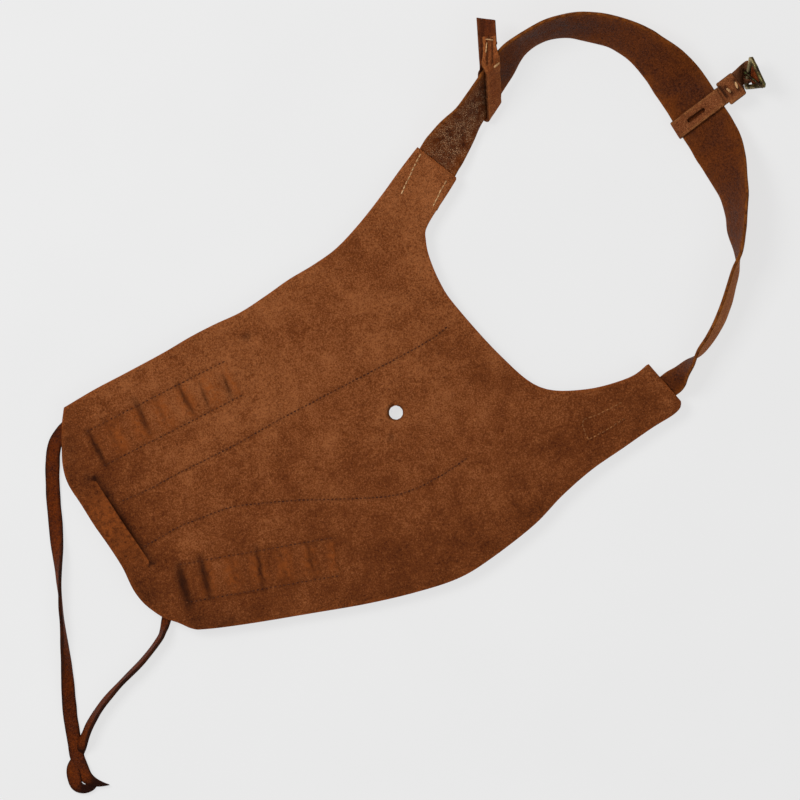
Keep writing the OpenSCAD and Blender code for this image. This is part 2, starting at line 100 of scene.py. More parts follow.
# Each station of a strip's route: X, Y, width, tilt in degrees and lift off the surface
strap_route = [
    (-72, 20.5, 28.8, 0, tab_lift), (-81.5, 31.3, 28.8, 0, tab_lift), (-91, 42.6, 28.9, 0, tab_lift),
    (-94, 46.6, 29, 2, 5.4), (-98, 52.5, 29.2, 18, 4.5), (-104.5, 62.5, 29.5, 37, 3.2),
    (-110.4, 71.9, 29.8, 52.5, 4), (-117.1, 81.9, 29.8, 55, 4.2), (-123.8, 91.8, 29.8, 55, 4.2),
    (-130.5, 101.8, 29.8, 56, 4.1), (-136.8, 111.2, 29.9, 61.5, 3), (-140.6, 120.5, 30.2, 68.5, 1.5),
    (-142.9, 131, 30.6, 71.5, 0.5), (-143.2, 141.5, 31, 70, 0), (-141, 153, 31.3, 66.5, 0),
    (-136.6, 163.2, 31.6, 60.5, 0), (-130, 174.2, 31.9, 56.5, 0), (-123, 182.7, 32.2, 54.5, 0),
    (-113.3, 191.3, 32.6, 48.5, 0.3), (-103.8, 197, 32.9, 42, 0.8), (-92.1, 202.5, 33.3, 28, 1.8),
    (-80.5, 206.4, 33.6, 13, 3), (-72, 208.5, 33.8, 9, 3.8), (-64.1, 209.9, 33.8, 9, 3.8),
    (-56.2, 211.3, 33.8, 9, 3.8), (-48.3, 212.7, 33.8, 9, 3.8), (-40.4, 214.1, 33.8, 10, 3.7),
    (-31, 214.9, 33.7, 17, 2.5), (-21.5, 214.7, 33.3, 32, 1.2), (-9.2, 213.9, 32.8, 48.5, 0.3),
    (1.7, 212.7, 32.2, 60.5, 0), (14.1, 209.1, 31.2, 69.5, 0), (24.5, 205.3, 30.2, 73.5, 0),
    (36.9, 201.4, 29, 86, 0), (46.5, 196, 27.8, 100, 0), (56.7, 188.3, 26.5, 103.5, 0),
    (67, 180.2, 25, 106, 0), (75.3, 172.2, 23.6, 106, 0), (82.9, 162.6, 22, 104, 0),
    (88.3, 153.2, 20.2, 99, 0.5), (92.2, 145.5, 18.8, 76, 1.5), (96, 138, 17.6, 57, 3),
    (98.8, 132.4, 16.8, 25, 4.5), (100.4, 127.8, 16.2, 2, 5.3), (102.6, 119, 16, 0, tab_lift),
    (104.3, 100, 15.8, 0, tab_lift), (106.8, 61, 15.6, 0, tab_lift)]

band_w = 12.4
band_clear = 0.4
band_strap_w = 33.8
band_skew = radians(5)
slot_len = 13.8
slot_w = 2.7
slot_y = -1.6
tongue_from = 18.2
tongue_to = 26.0
tongue_top = 1.0
cover_w = 17.0
cover_from = 20.4
cover_to = 33.0
band_stitches = [((0.2, 31), radians(-17), 2.3), ((-0.1, 24.9), radians(9), 1.9)]

stub_strap_w = 29.8
stub_clear = 1.0
stub_room = (1.7, 1.3)
stub_skew = radians(-37)
tail_start = 1.2
tail_slant = 1.31
tail_back_end = (26.2, 28.6)
tail_front_end = 14.5

thong_w = 9.4
thong_t = 2.4
thong_lift = panel_z - thong_t - seat
long_route = [(x, y, thong_w, tilt, lift) for x, y, tilt, lift in (
    (-24.5, -235, 0, thong_lift), (-22, -243.5, 0, thong_lift - 0.4), (-18.5, -251, 6, 3),
    (-12.5, -258.6, 10, 0.8), (1, -265.6, 0, 0), (19.5, -272.2, 0, 0), (38, -278, 8, 0),
    (60.5, -285, 60, 0), (72, -289.2, 78, 0), (84, -293.2, 90, 0), (97, -297, 95, 0),
    (119, -303.4, 125, 0), (132, -307.7, 145, 0), (144, -311.7, 162, 0), (158, -315.8, 176, 0),
    (170, -318.5, 180, 0), (180, -320.5, 180, 0.5))]
short_route = [
    (112.5, -227.5, 6.4, 0, thong_lift), (116.5, -231, 6.4, 3, thong_lift - 1.6),
    (120.8, -234.2, 7, 34, 1.2), (125.2, -237.6, 8.4, 66, 0.4), (130, -242.5, thong_w, 74, 0),
    (139, -258, thong_w, 74, 0), (146.5, -275.5, thong_w, 77, 0), (153.5, -289.3, thong_w, 70, 0),
    (159, -298, thong_w, 66, 0), (164.5, -305, thong_w, 62, 0.4), (169, -309.5, thong_w, 60, 1)]


# ---- curves and frames
curve_steps = 6


def curve(points, steps=curve_steps):
    """A smooth curve through control points of any number of values, with steps to each span."""
    last = len(points) - 1
    out = []
    for i in range(last):
        a, b, c, d = points[max(i - 1, 0)], points[i], points[i + 1], points[min(i + 2, last)]
        for k in range(steps):
            t = k / steps
            out.append([0.5 * (2 * q + (r - p) * t + (2 * p - 5 * q + 4 * r - s) * t * t
                               + (3 * q - p - 3 * r + s) * t ** 3) for p, q, r, s in zip(a, b, c, d)])
    out.append(list(points[last]))
    return out


def evenly(points, pitch):
    """Points along a polyline at one even pitch, both ends kept."""
    points = [Vector(p) for p in points]
    spans = [(b - a).length for a, b in zip(points, points[1:])]
    count = max(1, round(sum(spans) / pitch))
    out, walked, i = [], 0.0, 0
    for k in range(count):
        target = sum(spans) * k / count
        while walked + spans[i] < target:
            walked += spans[i]
            i += 1
        out.append(points[i].lerp(points[i + 1], (target - walked) / spans[i]))
    out.append(points[-1])
    return out


def turned(x, y, angle):
    return x * cos(angle) - y * sin(angle), x * sin(angle) + y * cos(angle)


def placed(at, turn):
    """Matrix of a place in the frame, in millimetres, with rotations given in degrees."""
    return Matrix.Translation(at) @ Euler([radians(a) for a in turn], "XYZ").to_matrix().to_4x4()


band_place = placed((-56.2, 211.3, 7.63), (9, 0, 10))
stub_place = placed((-123.8, 91.8, 17.1), (55, 0, 124))
tail_place = placed((-139.1, 97, 31.2), (0, 16, 161.3))


def station_frames(route, thick):
    """Middle, across, up and width of a strip at each point of its route."""
    path = curve(route)
    frames = []
    for i, (x, y, width, tilt, lift) in enumerate(path):
        a, b = path[max(i - 1, 0)], path[min(i + 1, len(path) - 1)]
        head, lean = atan2(b[1] - a[1], b[0] - a[0]), radians(tilt)
        rise = lift + width / 2 * abs(sin(lean)) + thick / 2 * abs(cos(lean))
        across = Vector((-sin(head) * cos(lean), cos(head) * cos(lean), sin(lean)))
        up = Vector((sin(head) * sin(lean), -cos(head) * sin(lean), cos(lean)))
        frames.append((Vector((x, y, rise)), across, up, width))
    return frames


# ---- meshes
def new_piece(name, points, faces, materials, kinds=None, wear_and_painted_light=None, painted_shade_and_marks=None):
    """A smooth-shaded mesh object from points in millimetres. One value per point turns the colour towards a
    material's colour for rubbing and painted light, and another darkens it with painted shade and dark marks.
    """
    mesh = bpy.data.meshes.new(name)
    mesh.from_pydata([Vector(p) * MM for p in points], [], faces)
    for m in materials:
        mesh.materials.append(m)
    if kinds:
        mesh.polygons.foreach_set("material_index", kinds)
    for key, values in (("wear_and_painted_light", wear_and_painted_light), ("painted_shade_and_marks", painted_shade_and_marks)):
        if values:
            mesh.attributes.new(key, "FLOAT", "POINT").data.foreach_set("value", values)
    mesh.validate()
    mesh.shade_smooth()
    mesh.set_sharp_from_angle(angle=radians(52))
    obj = bpy.data.objects.new(name, mesh)
    bpy.context.collection.objects.link(obj)
    return obj


def loft(rings, closed=False):
    """Points and faces of a skin through rings, with a cap on each end unless it is closed."""
    n, count = len(rings[0]), len(rings)
    faces = []
    for i in range(count if closed else count - 1):
        k = (i + 1) % count
        faces += [(i * n + j, i * n + (j + 1) % n, k * n + (j + 1) % n, k * n + j) for j in range(n)]
    if not closed:
        faces += [tuple(range(n))[::-1], tuple(range((count - 1) * n, count * n))]
    return [p for ring in rings for p in ring], faces


def strip_section(width, thick):
    """Points (across, up) round a cut strip: 7 on the top, 3 on an edge, 7 below, 3 on an edge."""
    w, t = width / 2, thick / 2
    along = [-w + 0.5 * t, -w + 1.5 * t, -w * 0.5, 0, w * 0.5, w - 1.5 * t, w - 0.5 * t]
    top = [(x, t * (0.9 if i in (0, 6) else 1)) for i, x in enumerate(along)]
    edge = [(w - 0.1 * t, 0.5 * t), (w, 0), (w - 0.1 * t, -0.5 * t)]
    return top + edge + [(x, -y) for x, y in reversed(top)] + [(-x, -y) for x, y in edge]


# The material of each face round a strip, and how far each point turns to its material's colour for rubbing
# and painted light: most at the edges
SECTION_KINDS = [0] * 6 + [1] * 4 + [2] * 6 + [1] * 4
SECTION_RUB_AND_LIGHT = [1, 0.45, 0, 0, 0, 0.45, 1, 1, 1, 1, 1, 0.45, 0, 0, 0, 0.45, 1, 1, 1, 1]


def strip(name, rings, materials, closed=False, painted_shade_and_marks=None):
    """A cut strip through section rings, with its top, edges and underside each in its material."""
    points, faces = loft(rings, closed)
    spans = len(rings) if closed else len(rings) - 1
    kinds = SECTION_KINDS * spans + ([] if closed else [1, 1])
    return new_piece(name, points, faces, materials, kinds, SECTION_RUB_AND_LIGHT * len(rings), painted_shade_and_marks)


def ripple(point, pitch, height):
    """A smooth seeded unevenness of a surface."""
    return noise.noise(Vector(point) / pitch) * height


def strip_rings(route, thick, curl, uneven):
    """Section rings of a strip along its route; curl lifts its two edges a little."""
    rings = []
    for middle, across, up, width in station_frames(route, thick):
        ring = []
        for a, b in strip_section(width, min(thick, 0.7 * width)):
            bend = curl * (2 * a / width) ** 2 - curl / 3
            p = middle + across * a + up * (b + bend)
            ring.append(p + up * ripple(p, 14, uneven) + across * ripple(p + Vector((50, 0, 0)), 9, 0.3))
        rings.append(ring)
    return rings


def swept(stations):
    """Middle, half-width, outward side and thickness along a smooth curve through such stations."""
    out = []
    for values in curve([[*m, *h, *n, t] for m, h, n, t in stations]):
        middle, half, side = (Vector(values[k:k + 3]) for k in (0, 3, 6))
        side = (side - half * side.dot(half) / half.length_squared).normalized()
        out.append((middle, half, side, values[9]))
    return out


# A stitch's share along it, thickness and height, from where it goes in to where it comes out
STITCH_SHAPE = ((0, 0.3, -0.3), (0.16, 0.8, 0.5), (0.5, 1, 1), (0.84, 0.8, 0.5), (1, 0.3, -0.3))


def add_stitch(points, faces, start, end, width, rise):
    """One stitch of thread between two points, thickest and highest in its middle."""
    start, end = Vector(start), Vector(end)
    along = (end - start).normalized()
    side = along.cross(Vector((0, 0, 1))).normalized()
    up = side.cross(along)
    for f, size, lift in STITCH_SHAPE:
        middle = start.lerp(end, f) + up * rise * lift
        ring = [middle + (side * cos(a) + up * sin(a) * 0.7) * width / 2 * size
                for a in (tau * k / 6 for k in range(6))]
        base = len(points)
        points += ring
        if f:
            faces += [(base - 6 + j, base - 6 + (j + 1) % 6, base + (j + 1) % 6, base + j) for j in range(6)]


def loose_stitches(name, node, body, stitches):
    """Stitches of pale thread, each with its start, end, width and rise."""
    points, faces = [], []
    for start, end, width, rise in stitches:
        add_stitch(points, faces, start, end, width, rise)
    stands_for(new_piece(name, points, faces, [pale_thread]), body, "thread", node)


def sewn_lines(name, node, lines, sizes, material, seed):
    """Sewing along lines on the panel's top; the sizes are its pitch, stitch length and thread width."""
    pitch, length, width = sizes
    stray, length_shares, rise = 0.15, (0.85, 1.1), 0.42
    rng = random.Random(seed)
    points, faces = [], []
    for line in lines:
        marks = evenly(line, pitch)
        for a, b in zip(marks, marks[1:]):
            along = (b - a).normalized()
            middle = (a + b) / 2 + Vector((-along.y, along.x)) * rng.uniform(-stray, stray)
            half = along * length / 2 * rng.uniform(*length_shares)
            lift = Vector((0, 0, panel_top + relief(middle.x, middle.y)[0]))
            start, end = (p.to_3d() + lift for p in (middle - half, middle + half))
            add_stitch(points, faces, start, end, width, rise)
    stands_for(new_piece(name, points, faces, [material]), "apron", "thread", node)


def merged(name, pieces):
    """Several meshes made into the first of them."""
    with bpy.context.temp_override(active_object=pieces[0], selected_editable_objects=pieces):
        bpy.ops.object.join()
    pieces[0].name = pieces[0].data.name = name
    return pieces[0]


def applied(obj):
    """The object with its modifiers made part of its mesh."""
    graph = bpy.context.evaluated_depsgraph_get()
    mesh = bpy.data.meshes.new_from_object(obj.evaluated_get(graph))
    obj.modifiers.clear()
    old, obj.data = obj.data, mesh
    bpy.data.meshes.remove(old)
    return obj


def cut(obj, cutter):
    """The object with the cutter's space taken out of it."""
    m = obj.modifiers.new("cut", "BOOLEAN")
    m.operation, m.solver, m.object = "DIFFERENCE", "EXACT", cutter
    applied(obj)
    bpy.data.objects.remove(cutter)
    return obj


def pressed(obj, matrix, lines, size, depth):
    """The piece made finer, then pressed in along lines on its top, with painted shade in those hollows."""
    finer = obj.modifiers.new("finer", "SUBSURF")
    finer.subdivision_type = "SIMPLE"
    finer.levels = finer.render_levels = 2
    mesh = applied(obj).data
    if "painted_shade_and_marks" not in mesh.attributes:
        mesh.attributes.new("painted_shade_and_marks", "FLOAT", "POINT")
    to_local, down = matrix.inverted(), matrix.to_3x3() @ Vector((0, 0, -1))
    for vertex, mark in zip(mesh.vertices, mesh.attributes["painted_shade_and_marks"].data):
        local = to_local @ (vertex.co / MM)
        press = max(exp(-(near_line(local.x, local.y, a, b)[0] / size) ** 2) for a, b in lines)
        if local.z > 0:
            vertex.co += down * press * depth * MM
            mark.value = max(mark.value, press)
    return obj


def stands_for(obj, body, slot, *nodes):
    """Places a piece on its body and hides the CAD nodes that it shows. Its finish's name is not used."""
    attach(obj, body)
    if nodes:
        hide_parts(*nodes)
    return obj


# ---- materials
def srgb(r, g, b):
    """A colour given as the picture shows it, 0 to 255, as the linear values of a shader."""
    return tuple((c / 255) ** 2.2 for c in (r, g, b)) + (1,)


class Shader:
    """A material's nodes, with short calls for the ones used here."""

    def __init__(self, name):
        self.material = bpy.data.materials.new(name)
        self.material.use_nodes = True
        self.tree = self.material.node_tree
        self.shader = self.tree.nodes["Principled BSDF"]
        self.coords = self.add("ShaderNodeTexCoord").outputs["Object"]

    def add(self, kind, **settings):
        node = self.tree.nodes.new(kind)
        for key, value in settings.items():
            setattr(node, key, value)
        return node

    def link(self, source, target):
        self.tree.links.new(source, target)

    def noise(self, size_mm, detail=3.0, rough=0.55, warp=0.0, stretch=None):
        """Noise whose features are about size_mm across, 0 to 1."""
        node = self.add("ShaderNodeTexNoise")
        node.inputs["Scale"].default_value = 1 / (size_mm * MM)
        node.inputs["Detail"].default_value = detail
        node.inputs["Roughness"].default_value = rough
        node.inputs["Distortion"].default_value = warp
        place = self.coords
        if stretch:
            mapping = self.add("ShaderNodeMapping")
            mapping.inputs["Scale"].default_value = stretch
            self.link(place, mapping.inputs["Vector"])
            place = mapping.outputs["Vector"]
        self.link(place, node.inputs["Vector"])
        return node.outputs["Fac"]

    def cells(self, size_mm):
        """Distance to the edge of pebble-shaped cells, 0 on an edge."""
        node = self.add("ShaderNodeTexVoronoi", feature="DISTANCE_TO_EDGE")
        node.inputs["Scale"].default_value = 1 / (size_mm * MM)
        self.link(self.coords, node.inputs["Vector"])
        return node.outputs["Distance"]

    def math(self, operation, a, b=0.0, clamp=False):
        node = self.add("ShaderNodeMath", operation=operation, use_clamp=clamp)
        for socket, value in zip(node.inputs, (a, b)):
            if isinstance(value, (int, float)):
                socket.default_value = value
            else:
                self.link(value, socket)
        return node.outputs[0]

    def remap(self, value, low, high, to_low=0.0, to_high=1.0):
        node = self.add("ShaderNodeMapRange")
        for socket, number in zip(("From Min", "From Max", "To Min", "To Max"), (low, high, to_low, to_high)):
            node.inputs[socket].default_value = number
        self.link(value, node.inputs["Value"])
        return node.outputs["Result"]

    def weighted(self, *parts):
        """The sum of values, each times its weight."""
        terms = [self.math("MULTIPLY", value, weight) for value, weight in parts]
        total = terms[0]
        for term in terms[1:]:
            total = self.math("ADD", total, term)
        return total

    def ramp(self, value, stops):
        """A colour from a value, through stops of a place and a colour as the picture shows it."""
        node = self.add("ShaderNodeValToRGB")
        while len(node.color_ramp.elements) < len(stops):
            node.color_ramp.elements.new(0.5)
        for element, (at, colour) in zip(node.color_ramp.elements, stops):
            element.position, element.color = at, srgb(*colour)
        self.link(value, node.inputs["Fac"])
        return node.outputs["Color"]

    def mix(self, amount, colour, other):
        """A colour turned by an amount towards a constant one, given as the picture shows it."""
        node = self.add("ShaderNodeMix", data_type="RGBA")
        sockets = {s.identifier: s for s in node.inputs}
        self.link(amount, sockets["Factor_Float"])
        self.link(colour, sockets["A_Color"])
        sockets["B_Color"].default_value = srgb(*other)
        return next(s for s in node.outputs if s.identifier == "Result_Color")

    def attribute(self, name):
        return self.add("ShaderNodeAttribute", attribute_name=name).outputs["Fac"]

    def shaded_and_marked(self, colour, dark):
        """The colour, darkened with painted shade in creases, grooves, gaps and hollows, and with dark marks.
        """
        return self.mix(self.math("MULTIPLY", self.attribute("painted_shade_and_marks"), 0.85, clamp=True), colour, dark)

    def rubbed_and_painted_light(self, colour, rub_and_painted_light_colour, size_mm, low):
        """The colour, turned in patches towards another colour, for rubbing and for painted light: painted
        highlights on the panel and painted shade at the edges of the thongs.
        """
        patches = self.remap(self.noise(size_mm, 3), low, 0.6)
        amount = self.math("MULTIPLY", self.attribute("wear_and_painted_light"), patches)
        return self.mix(self.math("MULTIPLY", amount, 0.75), colour, rub_and_painted_light_colour)

    def place(self):
        """The X and Y of the shaded point, in millimetres."""
        node = self.add("ShaderNodeSeparateXYZ")
        self.link(self.coords, node.inputs[0])
        return [self.math("MULTIPLY", node.outputs[k], 1 / MM) for k in "XY"]

    def finish(self, colour, roughness, heights, gloss=0.5, metallic=0.0):
        """Links the colour and roughness, and adds one bump for each (height, distance in mm)."""
        self.link(colour, self.shader.inputs["Base Color"])
        self.link(roughness, self.shader.inputs["Roughness"])
        self.shader.inputs["Metallic"].default_value = metallic
        self.shader.inputs["Specular IOR Level"].default_value = gloss
        normal = None
        for height, depth in heights:
            bump = self.add("ShaderNodeBump")
            bump.inputs["Distance"].default_value = depth * MM
            self.link(height, bump.inputs["Height"])
            if normal:
                self.link(normal, bump.inputs["Normal"])
            normal = bump.outputs["Normal"]
        self.link(normal, self.shader.inputs["Normal"])
        return self.material


def rough_leather(name, dark, middle, light, rub_and_painted_light_colour, painted_panel_shade=False):
    """The flesh side of leather: mottled, with a short nap and lighter patches from rubbing and, on the
    panel, from painted highlights.
    """
    s = Shader(name)
    clouds = s.noise(38, 4, 0.6, 0.6)
    patches = s.noise(11, 4, 0.6, 0.8)
    nap = s.noise(1.0, 3, 0.8, 0.3)
    fibres = s.noise(2.2, 4, 0.75, 1.5, stretch=(1, 0.35, 1))
    tone = s.weighted((clouds, 0.22), (patches, 0.15), (fibres, 0.14), (nap, 0.54))
    if painted_panel_shade:
        # Painted shade: the upper half of the panel is made lighter, and it is made darker towards its hem
        # and lower edge
        x, y = s.place()
        down = s.remap(x, -10, 150, 0.055, -0.025)
        to_hem = s.remap(y, -190, -262, 0.0, -0.10)
        tone = s.math("ADD", s.math("ADD", tone, down), to_hem)
    colour = s.ramp(tone, [(0.38, dark), (0.52, middle), (0.65, light)])
    colour = s.shaded_and_marked(s.rubbed_and_painted_light(colour, rub_and_painted_light_colour, 3, 0.35), (38, 17, 7))
    roughness = s.remap(nap, 0.3, 0.7, 0.78, 0.98)
    return s.finish(colour, roughness, [(patches, 1.3), (fibres, 1.0), (nap, 1.1)], gloss=0.12)


def grain_leather(name, dark, light, rub_and_painted_light_colour, glint_colour, glints_at=None):
    """The outer side of leather: pebbled and oiled, with painted highlights as pale glints on its pebbles, in
    patches all over or about one place.
    """
    s = Shader(name)
    clouds = s.noise(16, 4, 0.6, 0.5)
    pebbles = s.cells(1.5)
    pores = s.noise(1.4, 4, 0.75)
    colour = s.ramp(s.weighted((clouds, 0.33), (pores, 0.67)), [(0.38, dark), (0.64, light)])
    # Painted highlights: pale glints in the middles of the pebbles
    painted_glints = s.math("MULTIPLY", s.remap(s.cells(1.05), 0.10, 0.30), s.remap(s.noise(5, 3), 0.38, 0.56))
    where = s.remap(clouds, 0.55, 0.7, 0, 0.5)
    if glints_at:
        x, y = s.place()
        away = [s.math("POWER", s.math("ADD", c, -at), 2) for c, at in zip((x, y), glints_at)]
        where = s.remap(s.math("SQRT", s.math("ADD", *away)), 44, 12, 0, 0.78)
    colour = s.mix(s.math("MULTIPLY", painted_glints, where), colour, glint_colour)
    colour = s.rubbed_and_painted_light(s.shaded_and_marked(colour, (24, 11, 6)), rub_and_painted_light_colour, 5, 0.3)
    roughness = s.remap(clouds, 0.35, 0.65, 0.52, 0.78)
    return s.finish(colour, roughness, [(clouds, 0.8), (s.remap(pebbles, 0, 0.25), 0.2), (pores, 0.2)],
                    gloss=0.09)


def cut_edge(name, dark, light):
    """The cut side of leather, with the layers of its thickness."""
    s = Shader(name)
    layers = s.noise(1.2, 4, 0.7, 0.3, stretch=(0.25, 0.25, 2.5))
    colour = s.ramp(layers, [(0.35, dark), (0.65, light)])
    return s.finish(colour, s.remap(layers, 0.3, 0.7, 0.7, 0.95), [(layers, 0.3)], gloss=0.12)


def twisted_thread(name, dark, light, pitch_mm):
    """Waxed thread: strands in turn lit and shaded, with soil in places."""
    s = Shader(name)
    strands = s.noise(pitch_mm, 2, 0.6, 0.4)
    soil = s.noise(6, 3)
    colour = s.ramp(s.weighted((strands, 0.6), (soil, 0.4)), [(0.38, dark), (0.62, light)])
    return s.finish(colour, s.remap(soil, 0.3, 0.7, 0.6, 0.85), [(strands, 0.12)], gloss=0.2)


def aged_brass(name, dark, middle, light):
    """Old cast brass: brown tarnish and a little green in its hollows, pale where a highlight is painted on
    it.
    """
    s = Shader(name)
    tarnish = s.noise(5, 5, 0.65, 0.5)
    pits = s.noise(0.6, 4, 0.7)
    colour = s.ramp(tarnish, [(0.38, dark), (0.52, middle), (0.68, light)])
    green = s.remap(s.noise(2.2, 3, 0.6), 0.55, 0.66, 0, 0.6)
    colour = s.mix(green, colour, (96, 112, 62))
    # Painted highlight: pale where the piece's value for rubbing and painted light is set, along the top of
    # the buckle's bar
    painted_highlight = s.math("MULTIPLY", s.attribute("wear_and_painted_light"), s.remap(pits, 0.35, 0.6, 0.4, 1.0))
    colour = s.mix(painted_highlight, colour, (212, 196, 148))
    roughness = s.remap(tarnish, 0.35, 0.65, 0.58, 0.32)
    return s.finish(colour, roughness, [(tarnish, 0.25), (pits, 0.08)], metallic=0.7)


def floor_paint(name):
    s = Shader(name)
    tint = s.ramp(s.noise(120, 2), [(0.3, (106, 106, 106)), (0.7, (110, 110, 110))])
    s.shader.inputs["Emission Color"].default_value = (1, 1, 1, 1)
    s.shader.inputs["Emission Strength"].default_value = 0.69
    return s.finish(tint, s.remap(s.noise(20, 2), 0, 1, 0.9, 1.0), [(s.noise(3, 2), 0.01)], gloss=0.0)


# Each finish with its colours as the picture shows them, dark to light, then its colour for rubbing and
# painted light, and the colour of its painted glints
suede = rough_leather("suede", (76, 36, 13), (126, 67, 32), (176, 106, 62), (164, 86, 38), True)
suede_back = grain_leather("suede_back", (62, 34, 20), (96, 56, 34), (128, 76, 44), (130, 96, 70))
panel_edge = cut_edge("panel_edge", (86, 40, 14), (158, 90, 40))
strap_grain = grain_leather("strap_grain", (58, 27, 12), (110, 57, 24), (136, 72, 24), (196, 150, 110),
                            glints_at=(-106, 66))
strap_flesh = rough_leather("strap_flesh", (116, 60, 28), (166, 96, 52), (200, 130, 78), (190, 120, 60))
strap_edge = cut_edge("strap_edge", (74, 36, 10), (140, 80, 32))
band_face = rough_leather("band_face", (90, 45, 22), (132, 74, 42), (172, 108, 68), (170, 112, 66))
band_back = grain_leather("band_back", (66, 30, 13), (118, 58, 26), (132, 70, 34), (140, 88, 50))
stub_face = rough_leather("stub_face", (108, 52, 24), (156, 84, 44), (194, 120, 70), (190, 112, 56))
band_edge = cut_edge("band_edge", (58, 28, 12), (120, 70, 38))
# The thong's colour for rubbing and painted light is dark: painted shade darkens its edges
thong_face = grain_leather("thong_face", (58, 23, 3), (116, 53, 12), (42, 18, 5), (132, 78, 36))
thong_edge = cut_edge("thong_edge", (32, 15, 7), (66, 32, 14))
thong_leather = [thong_face, thong_edge, thong_face]
chape_leather = grain_leather("chape_leather", (58, 34, 22), (120, 76, 50), (130, 82, 54), (150, 110, 80))
# The scrap's colour for rubbing and painted light is dark: its edges are made darker
scrap_leather = grain_leather("scrap_leather", (72, 30, 12), (140, 68, 30), (58, 28, 14), (150, 86, 48))
seam_thread = twisted_thread("seam_thread", (48, 23, 11), (112, 62, 32), 1.3)
worn_thread = twisted_thread("worn_thread", (100, 56, 28), (184, 120, 70), 1.1)
pale_thread = twisted_thread("pale_thread", (140, 92, 54), (226, 180, 128), 0.9)
brass = aged_brass("old_brass", (48, 37, 20), (92, 75, 40), (158, 139, 92))
soiled_brass = aged_brass("soiled_brass", (34, 22, 12), (66, 44, 24), (104, 76, 44))


# ---- camera, light and floor
def make_camera():
    """A long lens straight above the apron, turned so that the hem is at the picture's left."""
    view_centre = Vector((43.8, -38.5, 10)) * MM
    view_width = 520 * MM
    view_turn = radians(68)
    distance = 3.0
    data = bpy.data.cameras.new("camera")
    data.sensor_width = 36
    data.lens = data.sensor_width * distance / view_width
    camera = bpy.data.objects.new("camera", data)
    camera.location = view_centre + Vector((0, 0, distance))
    camera.rotation_euler = (0, 0, view_turn)
    bpy.context.collection.objects.link(camera)
    bpy.context.scene.camera = camera


def make_light(name, place, size, watts):
    """A soft square light that points at the middle of the apron, with its place and size in metres."""
    data = bpy.data.lights.new(name, "AREA")
    data.size, data.energy = size, watts
    light = bpy.data.objects.new(name, data)
    light.location = place
    aim = Vector((0.03, -0.03, 0)) - light.location
    light.rotation_euler = aim.to_track_quat("-Z", "Y").to_euler()
    bpy.context.collection.objects.link(light)


def make_floor():
    half = 1600
    corners = [(x * half, y * half, -0.02) for x, y in ((-1, -1), (1, -1), (1, 1), (-1, 1))]
    new_piece("floor", corners, [(0, 1, 2, 3)], [floor_paint("pale_floor")])


def make_stage():
    make_light("window", (-0.9, -0.75, 1.5), 0.8, 22)
    make_light("fill", (1.1, 0.8, 1.7), 1.4, 5)
    world = bpy.data.worlds.new("room")
    bpy.context.scene.world = world
    world.use_nodes = True
    sky = world.node_tree.nodes["Background"]
    sky.inputs["Color"].default_value = (1, 1, 1, 1)
    sky.inputs["Strength"].default_value = 0.34
    bpy.context.scene.view_settings.view_transform = "Standard"
    make_floor()


make_camera()


# ---- thongs and their knot
def thong(name, route, node):
    """A thong laid along its route, and the middle line of that route in metres."""
    obj = strip(name, strip_rings(route, thong_t, curl=0.25, uneven=0.3), thong_leather)
    path = [m * MM for m, _, _, _ in station_frames(route, thong_t)]
    return stands_for(obj, "apron", "dark_leather", node), path


def knot_turn(name, route, darker_from):
    """One turn of the knot, a thong folded round on itself; it is made darker past one share of its length.
    """
    rings = strip_rings(route, thong_t + 0.2, curl=0.3, uneven=0.35)
    painted_shade_and_marks = [min(1.0, max(0.0, (i / len(rings) - darker_from) * 7)) for i in range(len(rings)) for _ in rings[0]]
    return strip(name, rings, thong_leather, painted_shade_and_marks=painted_shade_and_marks)


def make_knot():
    """The long thong's end to its dark tip, the short one going under it, and the turn that holds them."""
    end = [(174, -319.3, 9.4, 0, 0.2), (180, -320.5, 9.4, 0, 0.5), (188.4, -320.6, 9, 2, 0.9),
           (195.2, -319.8, 8.6, 6, 1.4), (200.6, -315.6, 5.6, 10, 1.2), (205.4, -308, 0.5, 6, 0.9)]
    turn = [(181.5, -322.2, 5, 0, 0.5), (186, -325.6, 8.4, 0, 1.0), (191.6, -327.2, 9.2, 2, 1.8),
            (197.6, -327.6, 8, 8, 1.6), (201.4, -324.6, 6.2, 12, 0.6), (202.2, -319.6, 5.4, 10, 0.2),
            (200.4, -315.6, 4, 0, 0)]
    under = short_route[-3:] + [(172.6, -312.8, 8.6, 46, 0.8), (176, -315.6, 7, 24, 0.3),
                                (179.5, -318, 5, 6, 0)]
    parts = [knot_turn("knot_end", end, 0.58), knot_turn("knot_turn", turn, 0.48),
             knot_turn("knot_under", under, 0.72)]
    return stands_for(merged("knot", parts), "apron", "dark_leather", "thong_knot")


def make_thongs():
    knot = make_knot()
    for name, route, ends in (("long_tie", long_route, [knot]), ("short_tie", short_route, [])):
        node = name.replace("tie", "thong")
        obj, path = thong(name, route, node)


make_thongs()
make_stage()


# ---- the panel
def in_slit_frame(x, y):
    return turned(x - slit_at[0], y - slit_at[1], -slit_turn)


def belt_arch(x, y):
    """How far the belt strip stands above the panel."""
    u, v = in_slit_frame(x, y)
    if abs(u) >= slit_len / 2 or not -strip_reach < v < 0:
        return 0.0
    return belt_rise * (1 - cos(tau * (u / slit_len + 0.5))) / 2


def in_row_frame(row, x, y):
    (cx, cy), turn = loop_rows[row]
    return turned(x - cx, y - cy, -turn)


row_half = loop_count * loop_pitch / 2
row_sewing = loop_strip_w / 2 - loop_sewing_inset


def row_line(row, v):
    """A straight line of sewing along a row of loops, v off its middle."""
    (cx, cy), turn = loop_rows[row]
    ends = [turned(u, v, turn) for u in (-row_half, row_half)]
    return [(cx + a, cy + b) for a, b in ends]


